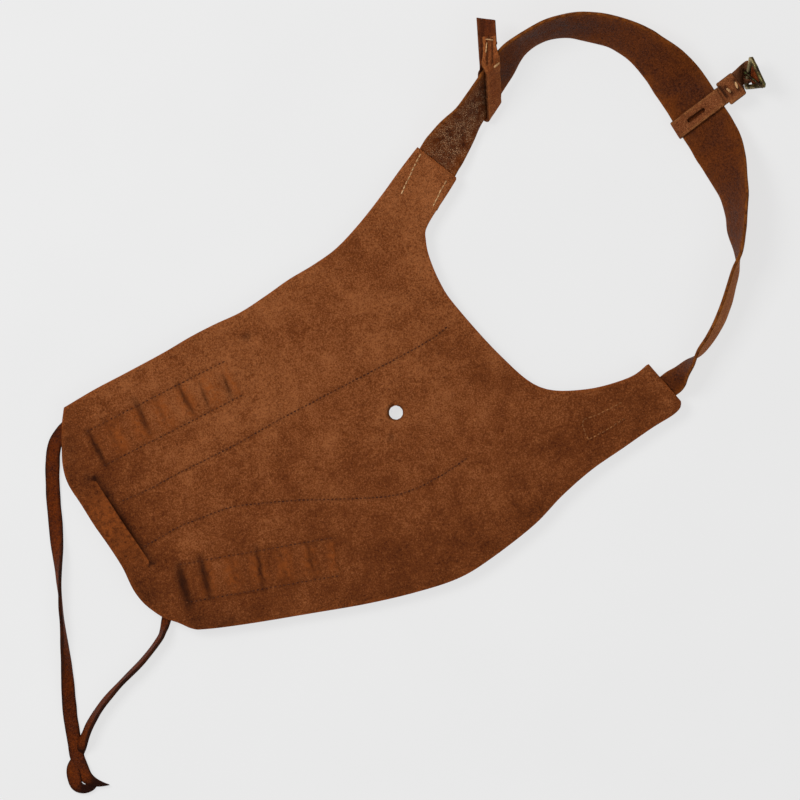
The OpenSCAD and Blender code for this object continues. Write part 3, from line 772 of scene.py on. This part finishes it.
row_lines = {row: [row_line(row, v) for v in (-row_sewing, row_sewing)] for row in loop_rows}
seam_lines = {"upper": curve(upper_seam), "lower": curve(lower_seam)}
wide_tab_lines = [[(-99.6, 34), (-90, 23), (-80, 12.4)], [(-77.3, 42.8), (-71, 35.5), (-64.8, 28.4)]]
narrow_tab_lines = [curve([(99.2, 95), (100.6, 79), (100.3, 66)], 3) + curve([(107.5, 65), (113.7, 65)], 2)
                    + curve([(112, 80), (109.4, 93)], 2)]

# Folds that the loops' sewing draws across the rows, each sunk and darkened with painted shade: two ends,
# depth and half-width
folds = [((-14.3, -234.5), (12.8, -231.4), 1.5, 2.2), ((-18.2, -222), (7.5, -219), 0.6, 1.6),
         ((-22.2, -198.3), (4, -197.7), 1.2, 2.0), ((-20.5, -186), (3, -185), 0.6, 1.6),
         ((-20.7, -168.8), (2.7, -166.3), 1.2, 1.9), ((-15.1, -155), (2.7, -155.8), 0.9, 1.7),
         ((-14.4, -139.1), (2.9, -139.8), 1.0, 1.7), ((90, -212.1), (116.6, -215.8), 1.7, 3.9),
         ((90.6, -197.4), (117.1, -201.1), 1.5, 3.2), ((93, -178), (119, -182.5), 0.5, 1.6),
         ((97.3, -161.1), (125.2, -166.8), 1.2, 2.0), ((101, -147), (127, -151.5), 0.5, 1.6),
         ((107, -129.5), (130.4, -133.1), 1.0, 1.8)]
# Places where the panel is made darker: place, radius and strength
dark_spots = [((-32, -116), 3.0, 0.55), ((64, -53), 2.2, 0.5), ((15, -245.5), 3.4, 0.6), ((-10, -252), 9, 0.3),
          ((100, -240), 8, 0.3), ((28, -238), 6, 0.3), ((141, -196), 11, 0.35), ((128, -216), 9, 0.3)]
# Places where it is pushed up from below: place, radius and height
bumps = [((36.4, -62.2), 4.0, 0.5)]
# The panel's slow and quick waves: pitch, height and seed
waves = ((48, 0.55, 0), (15, 0.28, 40))
# The groove that sewing pulls, sunk and darkened with painted shade, and the swell over each loop, made
# lighter on top for rubbing and as a painted highlight
groove_r, groove_depth, groove_shade = 1.3, 0.35, 0.2
swell_height, swell_rub_and_highlight = 1.3, 1.2
# Painted shadow on the panel's side of the slit, under the raised strip: strength and spread
slit_shadow, slit_shadow_r = 1.1, 3.0
# How far the strip leans over the slit, and the panel draws back from it and sags, and how far that spreads
strip_lean, strip_spread = 3.0, 7.0
panel_lean, panel_spread, panel_sag = -0.4, 3.0, -0.6


def near_line(x, y, a, b):
    """Distance from a point to a line between two points, and how far along it the point is."""
    ax, ay, bx, by = *a, *b
    dx, dy = bx - ax, by - ay
    span = max(dx * dx + dy * dy, 1e-9)
    f = max(0.0, min(1.0, ((x - ax) * dx + (y - ay) * dy) / span))
    return hypot(x - ax - f * dx, y - ay - f * dy), f


def tree_of(lines, pitch=0.8):
    points = [p for line in lines for p in evenly(line, pitch)]
    tree = kdtree.KDTree(len(points))
    for i, p in enumerate(points):
        tree.insert((p[0], p[1], 0), i)
    tree.balance()
    return tree


sewing_tree = tree_of(list(seam_lines.values()) + [line for pair in row_lines.values() for line in pair])


def relief(x, y):
    """Height of the panel's top over its flat place, how dark it is there, mostly from painted shade, and how
    much it is lightened, for rubbing and for painted highlights.
    """
    height = sum(ripple((x, y, seed), pitch, rise) for pitch, rise, seed in waves)
    groove = exp(-(sewing_tree.find((x, y, 0))[2] / groove_r) ** 2)
    height -= groove_depth * groove
    # Painted shade darkens the groove
    dark, rubbed_and_painted_light = groove_shade * groove, 0.0
    for row in loop_rows:
        u, v = in_row_frame(row, x, y)
        if abs(u) < row_half and abs(v) < loop_strip_w / 2:
            swell = (1 - (2 * v / loop_strip_w) ** 2) * cos(pi * u / loop_pitch) ** 2
            height += swell_height * swell
            # The top of each swell is made lighter, partly for rubbing and partly as a painted highlight
            rubbed_and_painted_light += swell_rub_and_highlight * swell
    for a, b, depth, half in folds:
        gap, f = near_line(x, y, a, b)
        if gap < 4 * half:
            fade = exp(-(gap / half) ** 2) * (0.35 + 0.65 * sin(pi * (0.1 + 0.8 * f)))
            height -= depth * fade
            # Painted shade along the fold
            dark += 0.8 * depth * exp(-(gap / (0.8 * half)) ** 2) * (0.45 + 0.55 * sin(pi * f))
    for (cx, cy), size, strength in dark_spots:
        dark += strength * exp(-((x - cx) ** 2 + (y - cy) ** 2) / size ** 2)
    for (cx, cy), size, rise in bumps:
        height += rise * exp(-((x - cx) ** 2 + (y - cy) ** 2) / size ** 2)
    # Painted shadow along the panel's side of the slit
    u, v = in_slit_frame(x, y)
    if abs(u) < slit_len / 2 + 4 and v > 0:
        dark += slit_shadow * exp(-((v - slit_w / 2) / slit_shadow_r) ** 2)
    arch = belt_arch(x, y)
    # The raised belt strip is made lighter: a painted highlight
    return height + arch, min(dark, 1.0), min(rubbed_and_painted_light + 0.9 * (arch / belt_rise) ** 0.5, 1.0)


def slit_lean(x, y):
    """Sideways move of a point near the slit: the raised strip leans over it and the panel sags to it."""
    u, v = in_slit_frame(x, y)
    if abs(u) > slit_len / 2 + 0.01:
        return Vector((0, 0, 0))
    if v < 0:
        fade = exp(-((v + slit_w / 2) / strip_spread) ** 2)
        return Vector((*turned(0, strip_lean * fade, slit_turn), 0))
    fade = exp(-((v - slit_w / 2) / panel_spread) ** 2)
    return Vector((*turned(0, panel_lean * fade, slit_turn), panel_sag * fade))


def ring_of(centre, radius, count):
    return [Vector((centre[0] + radius * cos(tau * k / count),
                    centre[1] + radius * sin(tau * k / count))) for k in range(count)]


def slit_ring():
    """Corners of the belt slit with points along its long sides."""
    u, v = slit_len / 2, slit_w / 2
    count = 36
    low = [(-u + 2 * u * k / count, -v) for k in range(count + 1)]
    high = [(u - 2 * u * k / count, v) for k in range(count + 1)]
    return [Vector(turned(a, b, slit_turn)) + Vector(slit_at) for a, b in low + high]


def inside(x, y, ring):
    hit = False
    for (ax, ay), (bx, by) in zip(ring, ring[1:] + ring[:1]):
        if (ay > y) != (by > y) and x < (bx - ax) * (y - ay) / (by - ay) + ax:
            hit = not hit
    return hit


def inset(ring, distance):
    """A ring moved inwards; the ring runs anticlockwise."""
    out = []
    for i, p in enumerate(ring):
        along = (ring[(i + 1) % len(ring)] - ring[i - 1]).normalized()
        out.append(p + Vector((-along.y, along.x)) * distance)
    return out


def signed_area(ring):
    return sum(a.x * b.y - b.x * a.y for a, b in zip(ring, ring[1:] + ring[:1])) / 2


rim_pitch = 2.0
rim_inset = 0.8
grid_pitch = 2.1
grid_clear = 1.7


def panel_outline():
    stretches = [curve(s) for s in (upper_edge, neckline, lower_edge, hem)]
    ring = evenly([p for s in stretches for p in s] + [stretches[0][0]], rim_pitch)[:-1]
    return ring if signed_area(ring) > 0 else ring[::-1]


def panel_grid(outline, hole, slit):
    """Points of a triangular grid inside the panel, clear of its edge and of the cut-outs."""
    fence = tree_of([ring + ring[:1] for ring in (outline, hole, slit)])
    low = [min(p[k] for p in outline) for k in (0, 1)]
    high = [max(p[k] for p in outline) for k in (0, 1)]
    points, row = [], 0
    y = low[1]
    while y < high[1]:
        x = low[0] + (row % 2) * grid_pitch / 2
        while x < high[0]:
            p = Vector((x, y))
            clear = fence.find((x, y, 0))[2] > grid_clear and (p - Vector(hole_at)).length > hole_r + 1
            if clear and inside(x, y, outline) and not inside(x, y, slit):
                points.append(p)
            x += grid_pitch
        y += grid_pitch * sqrt(3) / 2
        row += 1
    return points


def make_panel():
    """One sheet of leather, with its slit, hole, creases and rounded cut edge."""
    outline = panel_outline()
    hole, slit = ring_of(hole_at, hole_r, 40), slit_ring()
    rings = [outline, hole, slit]
    shoulder = inset(outline, rim_inset)
    grid = panel_grid(outline, hole, slit)
    points, edges = [], []
    for ring in rings:
        base = len(points)
        points += ring
        edges += [(base + i, base + (i + 1) % len(ring)) for i in range(len(ring))]
    rim_count = len(points)
    points += shoulder + grid
    flat, _, triangles, origin, _, _ = geometry.delaunay_2d_cdt(points, edges, [], 1, 1e-5)
    # The point given that each point of the mesh came from, or -1
    source = [o[0] if o else -1 for o in origin]
    kept = []
    for t in triangles:
        centre = sum((flat[i] for i in t), Vector((0, 0))) / 3
        if (centre - Vector(hole_at)).length >= hole_r * 0.98 and not inside(centre.x, centre.y, slit):
            kept.append(tuple(t))
    return panel_sheet(flat, kept, source, rings, rim_count, len(shoulder))


def panel_sheet(flat, triangles, source, rings, rim_count, shoulder_count):
    """The panel's top, underside and cut edges from its flat triangles."""
    edge_drop = 0.45
    n = len(flat)
    tops, belows, wear_and_painted_light, painted_shade_and_marks = [], [], [], []
    for p, s in zip(flat, source):
        height, dark, rubbed_and_painted_light = relief(p.x, p.y)
        rim = 0 <= s < rim_count
        shoulder = rim_count <= s < rim_count + shoulder_count
        arch = belt_arch(p.x, p.y)
        flat_place = Vector((p.x, p.y, 0)) + slit_lean(p.x, p.y)
        tops.append(flat_place + Vector((0, 0, panel_top + height - (edge_drop if rim else 0))))
        belows.append(flat_place + Vector((0, 0, panel_z + arch + max(0, height - arch) / 2)))
        wear_and_painted_light.append(1.0 if rim else 0.5 if shoulder else rubbed_and_painted_light)
        painted_shade_and_marks.append(dark)
    faces = list(triangles) + [tuple(i + n for i in reversed(t)) for t in triangles]
    kinds = [0] * len(triangles) + [1] * len(triangles)
    place = {s: i for i, s in enumerate(source)}
    middles, base = [], 0
    for k, ring in enumerate(rings):
        count = len(ring)
        ids = [place[base + i] for i in range(count)]
        start = 2 * n + len(middles)
        middles += [(tops[i][0], tops[i][1], (tops[i][2] + belows[i][2]) / 2) for i in ids]
        for j in range(count):
            a, b = ids[j], ids[(j + 1) % count]
            c, d = start + j, start + (j + 1) % count
            upper, lower = (a, c, d, b), (c, a + n, b + n, d)
            faces += [upper, lower] if k == 0 else [upper[::-1], lower[::-1]]
            kinds += [2, 2]
        base += count
    wear_and_painted_light = wear_and_painted_light + wear_and_painted_light + [1.0] * len(middles)
    painted_shade_and_marks = painted_shade_and_marks + [0.0] * (n + len(middles))
    return new_piece("panel", tops + belows + middles, faces, [suede, suede_back, panel_edge], kinds,
                     wear_and_painted_light, painted_shade_and_marks)


panel = stands_for(make_panel(), "apron", "suede", "main_panel")


# ---- pocket and loops under the panel
def smoothstep(u):
    u = max(0.0, min(1.0, u))
    return u * u * (3 - 2 * u)


def seam_x(seam, y):
    for (xa, ya), (xb, yb) in zip(seam, seam[1:]):
        if y <= yb:
            return xa + (xb - xa) * (y - ya) / (yb - ya)
    return seam[-1][0]


def pocket_point(s, t):
    """A point on the pocket's inner face: s from the toe to the mouth, t across it."""
    mouth = pocket_mouth - mouth_slant * t - mouth_scoop * sin(pi * t)
    y = pocket_toe + (mouth - pocket_toe) * s
    a, b = seam_x(upper_seam, y) - flange, seam_x(lower_seam, y) + flange
    x = a + (b - a) * t
    depth = smoothstep((min(x - a, b - x) - wall_start) / (wall_end - wall_start))
    sag = (0.35 + ripple((x, y, 20), 22, 0.35)) * depth
    return Vector((x, y, panel_z - seat - (pocket_gap - seat) * depth + sag))


def thick_grid(name, grid, thick, materials):
    """A sheet hung below a grid of points, with closed sides."""
    rows, cols = len(grid), len(grid[0])
    down = Vector((0, 0, -thick))
    top = [p for row in grid for p in row]
    points = top + [p + down for p in top]
    n = len(top)
    faces, kinds = [], []
    for i in range(rows - 1):
        for j in range(cols - 1):
            a, b, c, d = i * cols + j, i * cols + j + 1, (i + 1) * cols + j + 1, (i + 1) * cols + j
            faces += [(a, b, c, d), (d + n, c + n, b + n, a + n)]
            kinds += [0, 1]
    border = list(range(cols)) + [i * cols + cols - 1 for i in range(1, rows)]
    border += [(rows - 1) * cols + j for j in range(cols - 2, -1, -1)]
    border += [i * cols for i in range(rows - 2, 0, -1)]
    for a, b in zip(border, border[1:] + border[:1]):
        faces.append((a, a + n, b + n, b))
        kinds.append(2)
    wear_and_painted_light = [0.0] * (2 * n)
    for i in border:
        wear_and_painted_light[i] = wear_and_painted_light[i + n] = 1.0
    return new_piece(name, points, faces, materials, kinds, wear_and_painted_light)


def make_pocket():
    # Closer points near the two sides, where the wall bends
    cols, rows = 40, 60
    across = [0.5 - 0.5 * cos(pi * k / cols) for k in range(cols + 1)]
    grid = [[pocket_point(i / rows, t) for t in across] for i in range(rows + 1)]
    return thick_grid("pocket", grid, lining_t, [suede, suede_back, panel_edge])


def loop_profile():
    """Middle line of a loop strip seen from its end: flat between loops and bowed down at each."""
    start = -row_half - loop_end
    points = [(start, -lining_t / 2), (start + loop_end / 2, -lining_t / 2)]
    for i in range(loop_count):
        middle = (i - (loop_count - 1) / 2) * loop_pitch
        half, deep = (loop_w + lining_t) / 2, pocket_gap - 0.1 - 0.1 * (i % 3)
        for a in range(170, 5, -10):
            c, s = cos(radians(a)), sin(radians(a))
            points.append((middle + half * copysign(abs(c) ** loop_power, c),
                           -lining_t / 2 - deep * s ** loop_power))
    points += [(-start - loop_end / 2, -lining_t / 2), (-start, -lining_t / 2)]
    return points


def make_loop_strip(row):
    (cx, cy), turn = loop_rows[row]
    profile = evenly(loop_profile(), 1.4)
    rings = []
    for i, p in enumerate(profile):
        a, b = profile[max(i - 1, 0)], profile[min(i + 1, len(profile) - 1)]
        along = (b - a).normalized()
        ring = []
        for v, h in strip_section(loop_strip_w, lining_t):
            u, z = p.x - along.y * h, p.y + along.x * h
            x, y = turned(u, v, turn)
            ring.append(Vector((cx + x, cy + y, panel_z - seat + min(z, 0))))
        rings.append(ring)
    obj = strip(f"{row}_loops", rings, [suede, panel_edge, suede_back])
    return stands_for(obj, "apron", "suede", f"{row}_loop_strip")


stands_for(make_pocket(), "apron", "suede", "tool_pocket")
for row in loop_rows:
    make_loop_strip(row)


# ---- sewing on the panel
def make_sewing():
    pocket_sewing, loop_sewing = (2.67, 1.8, 1.05), (2.9, 1.8, 0.9)
    wide_tab_sewing, narrow_tab_sewing = (3.4, 3.0, 0.95), (3.1, 2.4, 0.8)
    for k, (row, line) in enumerate(seam_lines.items()):
        sewn_lines(f"{row}_seam", f"{row}_pocket_seam", [line], pocket_sewing, seam_thread, 10 + k)
    for k, (row, lines) in enumerate(row_lines.items()):
        sewn_lines(f"{row}_loop_sewing", f"{row}_loop_stitching", lines, loop_sewing, seam_thread, 20 + k)
    sewn_lines("wide_tab_sewing", "wide_tab_stitching", wide_tab_lines, wide_tab_sewing, pale_thread, 30)
    sewn_lines("narrow_tab_sewing", "narrow_tab_stitching", narrow_tab_lines, narrow_tab_sewing,
               worn_thread, 31)


make_sewing()


# ---- shoulder strap
def make_strap():
    rings = strip_rings(strap_route, strap_t, curl=0.35, uneven=0.3)
    obj = strip("strap", rings, [strap_grain, strap_edge, strap_flesh])
    return stands_for(obj, "apron", "dark_leather", "shoulder_strap")


make_strap()


# ---- bands round the strap
def band_rings():
    """Section rings of the slotted band round the flat strap, with rounded folds at the strap's edges."""
    half_w, hollow = band_strap_w / 2 + band_clear, strap_t / 2 + band_clear
    middle, turn_r = band_t / 2, 1.4
    r = turn_r + middle
    corners = [(half_w, hollow), (-half_w, hollow), (-half_w, -hollow), (half_w, -hollow)]
    path = []
    for k, (y, z) in enumerate(corners):
        sy, sz = copysign(1, y), copysign(1, z)
        for a in range(90 * k, 90 * k + 91, 15):
            path.append((y - sy * turn_r + r * cos(radians(a)),
                         z - sz * turn_r + r * sin(radians(a))))
        nxt = corners[(k + 1) % 4]
        if k in (0, 2):
            for f in (0.1, 0.25, 0.4, 0.55, 0.7, 0.85):
                path.append((y + (nxt[0] - y) * f, z + copysign(middle, z)))
    rings = []
    for i, (y, z) in enumerate(path):
        (ya, za), (yb, zb) = path[i - 1], path[(i + 1) % len(path)]
        out = Vector((0, zb - za, ya - yb)).normalized()
        ring = []
        for a, b in strip_section(band_w, band_t):
            p = Vector((-tan(band_skew) * y + a / cos(band_skew), y, z)) + out * b
            ring.append(band_place @ p)
        rings.append(ring)
    return rings


def slab(name, x_half, y_from, y_to, z_low, z_high, materials, crown=0.0):
    """A flat piece of leather on the band with rounded ends and edges, crowned in its middle."""
    thick, steps = z_high - z_low, 16
    rings = []
    for i in range(steps + 1):
        f = i / steps
        end = min(f, 1 - f)
        round_off = sqrt(max(0.0, 1 - max(0.0, 1 - end / 0.07) ** 2))
        pull = 0.92 + 0.08 * round_off
        ring = []
        for a, b in strip_section(2 * x_half * pull, thick * (0.55 + 0.45 * round_off)):
            lift = crown * sin(pi * f) * (1 - (a / x_half) ** 2)
            p = Vector((a, y_from + (y_to - y_from) * f, (z_low + z_high) / 2 + b + lift))
            p.z += ripple(p + Vector((7, 0, 0)), 5, 0.3) * (1 if b > 0 else 0)
            ring.append(on_band @ p)
        rings.append(ring)
    return strip(name, rings, materials)


band_leather = [band_face, band_edge, band_back]
on_band = band_place @ Matrix.Rotation(band_skew, 4, "Z")


def slot_cutter():
    """A rounded bar through the band's upper layer."""
    low, high = strap_t / 2 + band_clear - 0.3, strap_t / 2 + band_clear + band_t + 2
    straight = (slot_len - slot_w) / 2
    ring = [(slot_w / 2 * cos(radians(a)),
             slot_y + copysign(straight, 179.9 - a) + slot_w / 2 * sin(radians(a)))
            for a in range(0, 360, 20)]
    rings = [[on_band @ Vector((x, y, z)) for x, y in ring] for z in (low, high)]
    points, faces = loft(rings)
    return new_piece("slot_cutter", points, faces, [band_edge])


def make_slotted_band():
    loop = cut(strip("band_loop", band_rings(), band_leather, closed=True), slot_cutter())
    tongue = slab("tongue", band_w / 2, tongue_from - 0.8, tongue_to, -tongue_top, tongue_top, band_leather)
    obj = merged("slotted_band_leather", [loop, tongue])
    stands_for(obj, "keeper", "band_leather", "slotted_band")
    cover = slab("cover", cover_w / 2, cover_from, cover_to, tongue_top, tongue_top + band_t,
                 band_leather, crown=0.4)
    # The ends of the two stitches, and the hollow that their pull leaves along the cover's edge, all pressed
    # in with painted shade
    pulls = [(place, place) for place in ((-2.6, 31.6), (2.8, 30.4), (-2.6, 24), (2.4, 25.6))]
    pulls.append(((-5, 21.4), (2, 21.4)))
    pressed(cover, on_band, pulls, 1.7, 0.5)
    stands_for(cover, "keeper", "band_leather", "band_cover")


def make_band_stitches():
    top, stitches = tongue_top + band_t + 0.25, []
    for (x, y), turn, half in band_stitches:
        dx, dy = turned(half, 0, turn)
        start, end = (on_band @ Vector((x + s * dx, y + s * dy, top)) for s in (-1, 1))
        stitches.append((start, end, 1.6, 0.5))
    loose_stitches("cover_stitches", "band_stitches", "keeper", stitches)


def turn_stations():
    """The stub's strip as stations of middle, half-width, outward side and thickness: down one layer of
    its tail, once round the strap and up the other layer."""
    top, below = strap_t / 2 + stub_room[0] + band_t / 2, strap_t / 2 + stub_room[1] + band_t / 2
    edge = stub_strap_w / 2 + stub_clear + band_t / 2
    half = band_w / 2 / cos(stub_skew)
    back = band_w / 2 - 0.1
    tail, strap = tail_place, stub_place

    def on_tail(x, z, half_w, slant, side, y=0.0):
        across = Vector((-slant, 1, 0)) * half_w
        return tail @ Vector((x, y, z)), tail.to_3x3() @ across, tail.to_3x3() @ Vector((0, 0, side))

    def on_strap(y, z, ny, nz):
        middle = Vector((-tan(stub_skew) * y, y, z))
        return strap @ middle, strap.to_3x3() @ Vector((-half, 0, 0)), strap.to_3x3() @ Vector((0, ny, nz))

    back_end = sum(tail_back_end) / 2
    slope = (tail_back_end[0] - tail_back_end[1]) / (2 * back)
    stations = [on_tail(tail_front_end, 1.1, 4.7, 0, 1, -1.3), on_tail(9, 1.4, 4.6, 0.3, 1, -1.3),
                on_tail(5, 1.7, 4.8, 0.9, 1, -0.9), on_tail(2.4, 1.6, 5.2, tail_slant, 1, -0.3),
                on_strap(edge - 0.4, 2.4, 0.75, 0.66), on_strap(14, top - 0.2, 0.2, 0.98)]
    stations += [on_strap(y, top, 0, 1) for y in (10, 4, -4, -12)]
    stations += [on_strap(1 - edge, top - 0.5, -0.5, 0.86), on_strap(-edge, 0, -1, 0),
                 on_strap(1 - edge, 0.5 - below, -0.5, -0.86)]
    stations += [on_strap(y, -below, 0, -1) for y in (-12, -4, 4, 12)]
    stations += [on_tail(tail_start + 0.8, -0.9, back, tail_slant, -1), on_tail(7, -0.9, back, 0.8, -1),
                 on_tail(14, -0.9, back, 0, -1), on_tail(21, -0.8, back, slope / 2, -1),
                 on_tail(back_end, -0.6, back, slope, -1)]
    return [(*station, band_t) for station in stations]


def make_stub_strip():
    """The stub: one strip of leather folded round the strap, its two ends lying on each other."""
    path = swept(turn_stations())
    tail_steps = 5 * curve_steps
    rings, painted_shade_and_marks = [], []
    for i, (middle, half, side, thick) in enumerate(path):
        width = 2 * half.length
        cracked = max(0.0, 1 - i / tail_steps)
        ring = []
        for a, b in strip_section(width, thick):
            # Painted shade along a sunk crack down the front of the tail, fading along it
            track = 0.8 * sin(0.22 * i)
            gap = exp(-((a - track) / 1.1) ** 2) * cracked if b > 0 else 0
            p = middle + half.normalized() * a + side * (b - 0.7 * gap)
            ring.append(p + side * ripple(p, 6, 0.5))
            # Painted shade on the back layer beside the front layer
            back_layer_shade = 0.55 if i > len(path) - tail_steps and a > width * 0.2 else 0.0
            painted_shade_and_marks.append(min(1.0, gap + back_layer_shade + 0.25 * max(0, ripple(p, 5, 1))))
        rings.append(ring)
    obj = strip("stub_leather", rings, [stub_face, band_edge, band_back], painted_shade_and_marks=painted_shade_and_marks)
    # Two lines on the stub's front, pressed in with painted shade
    front = [((13, y), (-4, y + 0.8)) for y in (-3.1, 0.3)]
    return pressed(obj, tail_place, front, 0.7, 0.35)


def make_stub():
    """The stub and its thread: two stitches on its front, and two where it leaves the strap's edge."""
    stands_for(make_stub_strip(), "stub_loop", "band_leather", "stub_band")
    on_front = [((11.6, -3.9), (12.6, 1.2), 0.9), ((3, 1.6), (10.5, 0.4), 0.7)]
    at_edge, edge_z, edge_length = [(10, 13.2), (11.5, 12.2)], 4.9, 3.4
    stitches = []
    for start, end, width in on_front:
        a, b = (tail_place @ Vector((x, y, band_t + 0.5)) for x, y in (start, end))
        stitches.append((a, b, width, 0.4))
    for x, y in at_edge:
        a, b = (stub_place @ Vector((x + k, y - k / 4, edge_z)) for k in (0, edge_length))
        stitches.append((a, b, 1.2, 0.5))
    loose_stitches("stub_thread", "stub_stitches", "stub_loop", stitches)


make_slotted_band()
make_band_stitches()
make_stub()


# ---- buckle
bar_len = 22.0
frame_h = 17.8
bar_r = 1.65
side_r = 1.6
bar_place = placed((-68.7, 251.4, 9.4), (55, 33, -29))


def frame_path():
    """The frame's wire round its three corners, each point with the wire's radius."""
    corners = [Vector((-bar_len / 2, 0, 0)), Vector((bar_len / 2, 0, 0)), Vector((0, frame_h, 0))]
    out = []
    for k, corner in enumerate(corners):
        before, after = corners[k - 1], corners[(k + 1) % 3]
        # Points close on both sides of a corner bend the wire tightly there
        near = [corner.lerp(before, f) for f in (0.09, 0.03)] + [corner.lerp(after, f) for f in (0.03, 0.09)]
        out += [(p, 0.95 * bar_r) for p in near]
        radius = bar_r if k == 0 else side_r
        out += [(corner.lerp(after, f), radius) for f in (0.2, 0.35, 0.5, 0.65, 0.8)]
    return out


def make_buckle_frame():
    """The triangle of brass wire, slightly flattened, with its rough cast surface."""
    path, up, facets, flattened = frame_path(), Vector((0, 0, 1)), 14, 0.9
    rings, wear_and_painted_light = [], []
    for i, (middle, radius) in enumerate(path):
        along = (path[(i + 1) % len(path)][0] - path[i - 1][0]).normalized()
        side = along.cross(up)
        ring = []
        for a in (tau * k / facets for k in range(facets)):
            out = side * cos(a) + up * sin(a) * flattened
            p = middle + out * radius
            ring.append(bar_place @ (p + out * ripple(p, 2.5, 0.22)))
            # Painted highlight: the upper side of the bar is made pale
            wear_and_painted_light.append(0.9 * max(0.0, sin(a)) ** 4 if middle.y < bar_r else 0.0)
        rings.append(ring)
    points, faces = loft(rings, closed=True)
    obj = new_piece("buckle_wire", points, faces, [brass], wear_and_painted_light=wear_and_painted_light)
    return stands_for(obj, "buckle", "brass", "buckle_frame")


def folded_strip(name, stations, materials, uneven=0.4):
    """A strip through stations of middle, half-width, outward side and thickness."""
    rings = []
    for middle, half, side, thick in swept(stations):
        ring = []
        for a, b in strip_section(2 * half.length, thick):
            p = middle + half.normalized() * a
            ring.append(p + side * (b + ripple(p, 4, uneven)))
        rings.append(ring)
    return strip(name, rings, materials)


def on_frame(x, y, z, half, side, thick):
    """A station across the buckle's frame: x along its bar, y from it to the point, z off its plane."""
    turn = bar_place.to_3x3()
    return bar_place @ Vector((x, y, z)), turn @ Vector((half, 0, 0)), turn @ Vector(side), thick


def make_ear():
    """The narrow tongue of the fold that wraps the bar beside the prong, clear of the bar as it turns."""
    ear_x, ear_half, ear_r, ear_t = 5.2, 1.4, bar_r + 0.8, 0.9
    stations = []
    for a in range(-150, 151, 30):
        c, d = cos(radians(a)), sin(radians(a))
        stations.append(on_frame(ear_x, ear_r * c, ear_r * d, ear_half, (0, c, d), ear_t))
    stations.append(on_frame(ear_x - 0.6, -4.2, 1.9, ear_half, (0, 0, 1), ear_t))
    return folded_strip("chape_ear", stations, [chape_leather] * 3, uneven=0.1)


def make_chape():
    """The dark fold that holds the bar: under the cover, then round the far side of the bar."""
    turn = on_band.to_3x3()
    low = slab("chape_low", 8.2, cover_from, cover_to, -tongue_top - band_t, -tongue_top - 0.05,
               [chape_leather] * 3)
    root = [(on_band @ Vector((0, y, -0.4)), turn @ Vector((7.9, 0, 0)), turn @ Vector((0, 0, 1)), 2.2)
            for y in (tongue_to + 0.6, cover_to - 0.5)]
    # It stops short of the space that the frame's sides and the scrap sweep as the buckle turns down
    round_bar = [on_frame(2.4, -4.4, 0.9, 8.6, (0, 0.2, 1), 1.8),
                 on_frame(2.6, -2.7, -1.5, 8.2, (0, 0.8, 0.6), 1.6),
                 on_frame(1.2, -1.2, -2.7, 6.2, (0, 0.4, 0.9), 1.3)]
    fold = folded_strip("chape_fold", root + round_bar, [chape_leather] * 3)
    return stands_for(merged("chape", [low, fold, make_ear()]), "keeper", "dark_leather", "buckle_chape")


def make_scrap():
    """A torn end of dark leather caught inside the frame."""
    stations = [on_frame(-2.6, 2.2, -0.6, 4.4, (0, 0, 1), 1.4), on_frame(-2, 3.2, -0.6, 5, (0, 0, 1), 1.4),
                on_frame(0.2, 5, -0.6, 5.8, (0.1, 0, 1), 1.5),
                on_frame(0.2, 9, -0.4, 3.6, (0.1, 0, 1), 1.6), on_frame(0, 12.6, -0.3, 1.6, (0, 0, 1), 1.3)]
    obj = folded_strip("buckle_scrap", stations, [scrap_leather, thong_edge, scrap_leather])
    return stands_for(obj, "buckle", "dark_leather")


def dress(node, material):
    """Gives a carried-over CAD node its finish."""
    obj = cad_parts[node]
    if not obj.data.materials:
        obj.data.materials.append(material)
    for slot in obj.material_slots:
        slot.link = "OBJECT"
        slot.material = material


make_chape()
make_buckle_frame()
make_scrap()
dress("buckle_prong", soiled_brass)
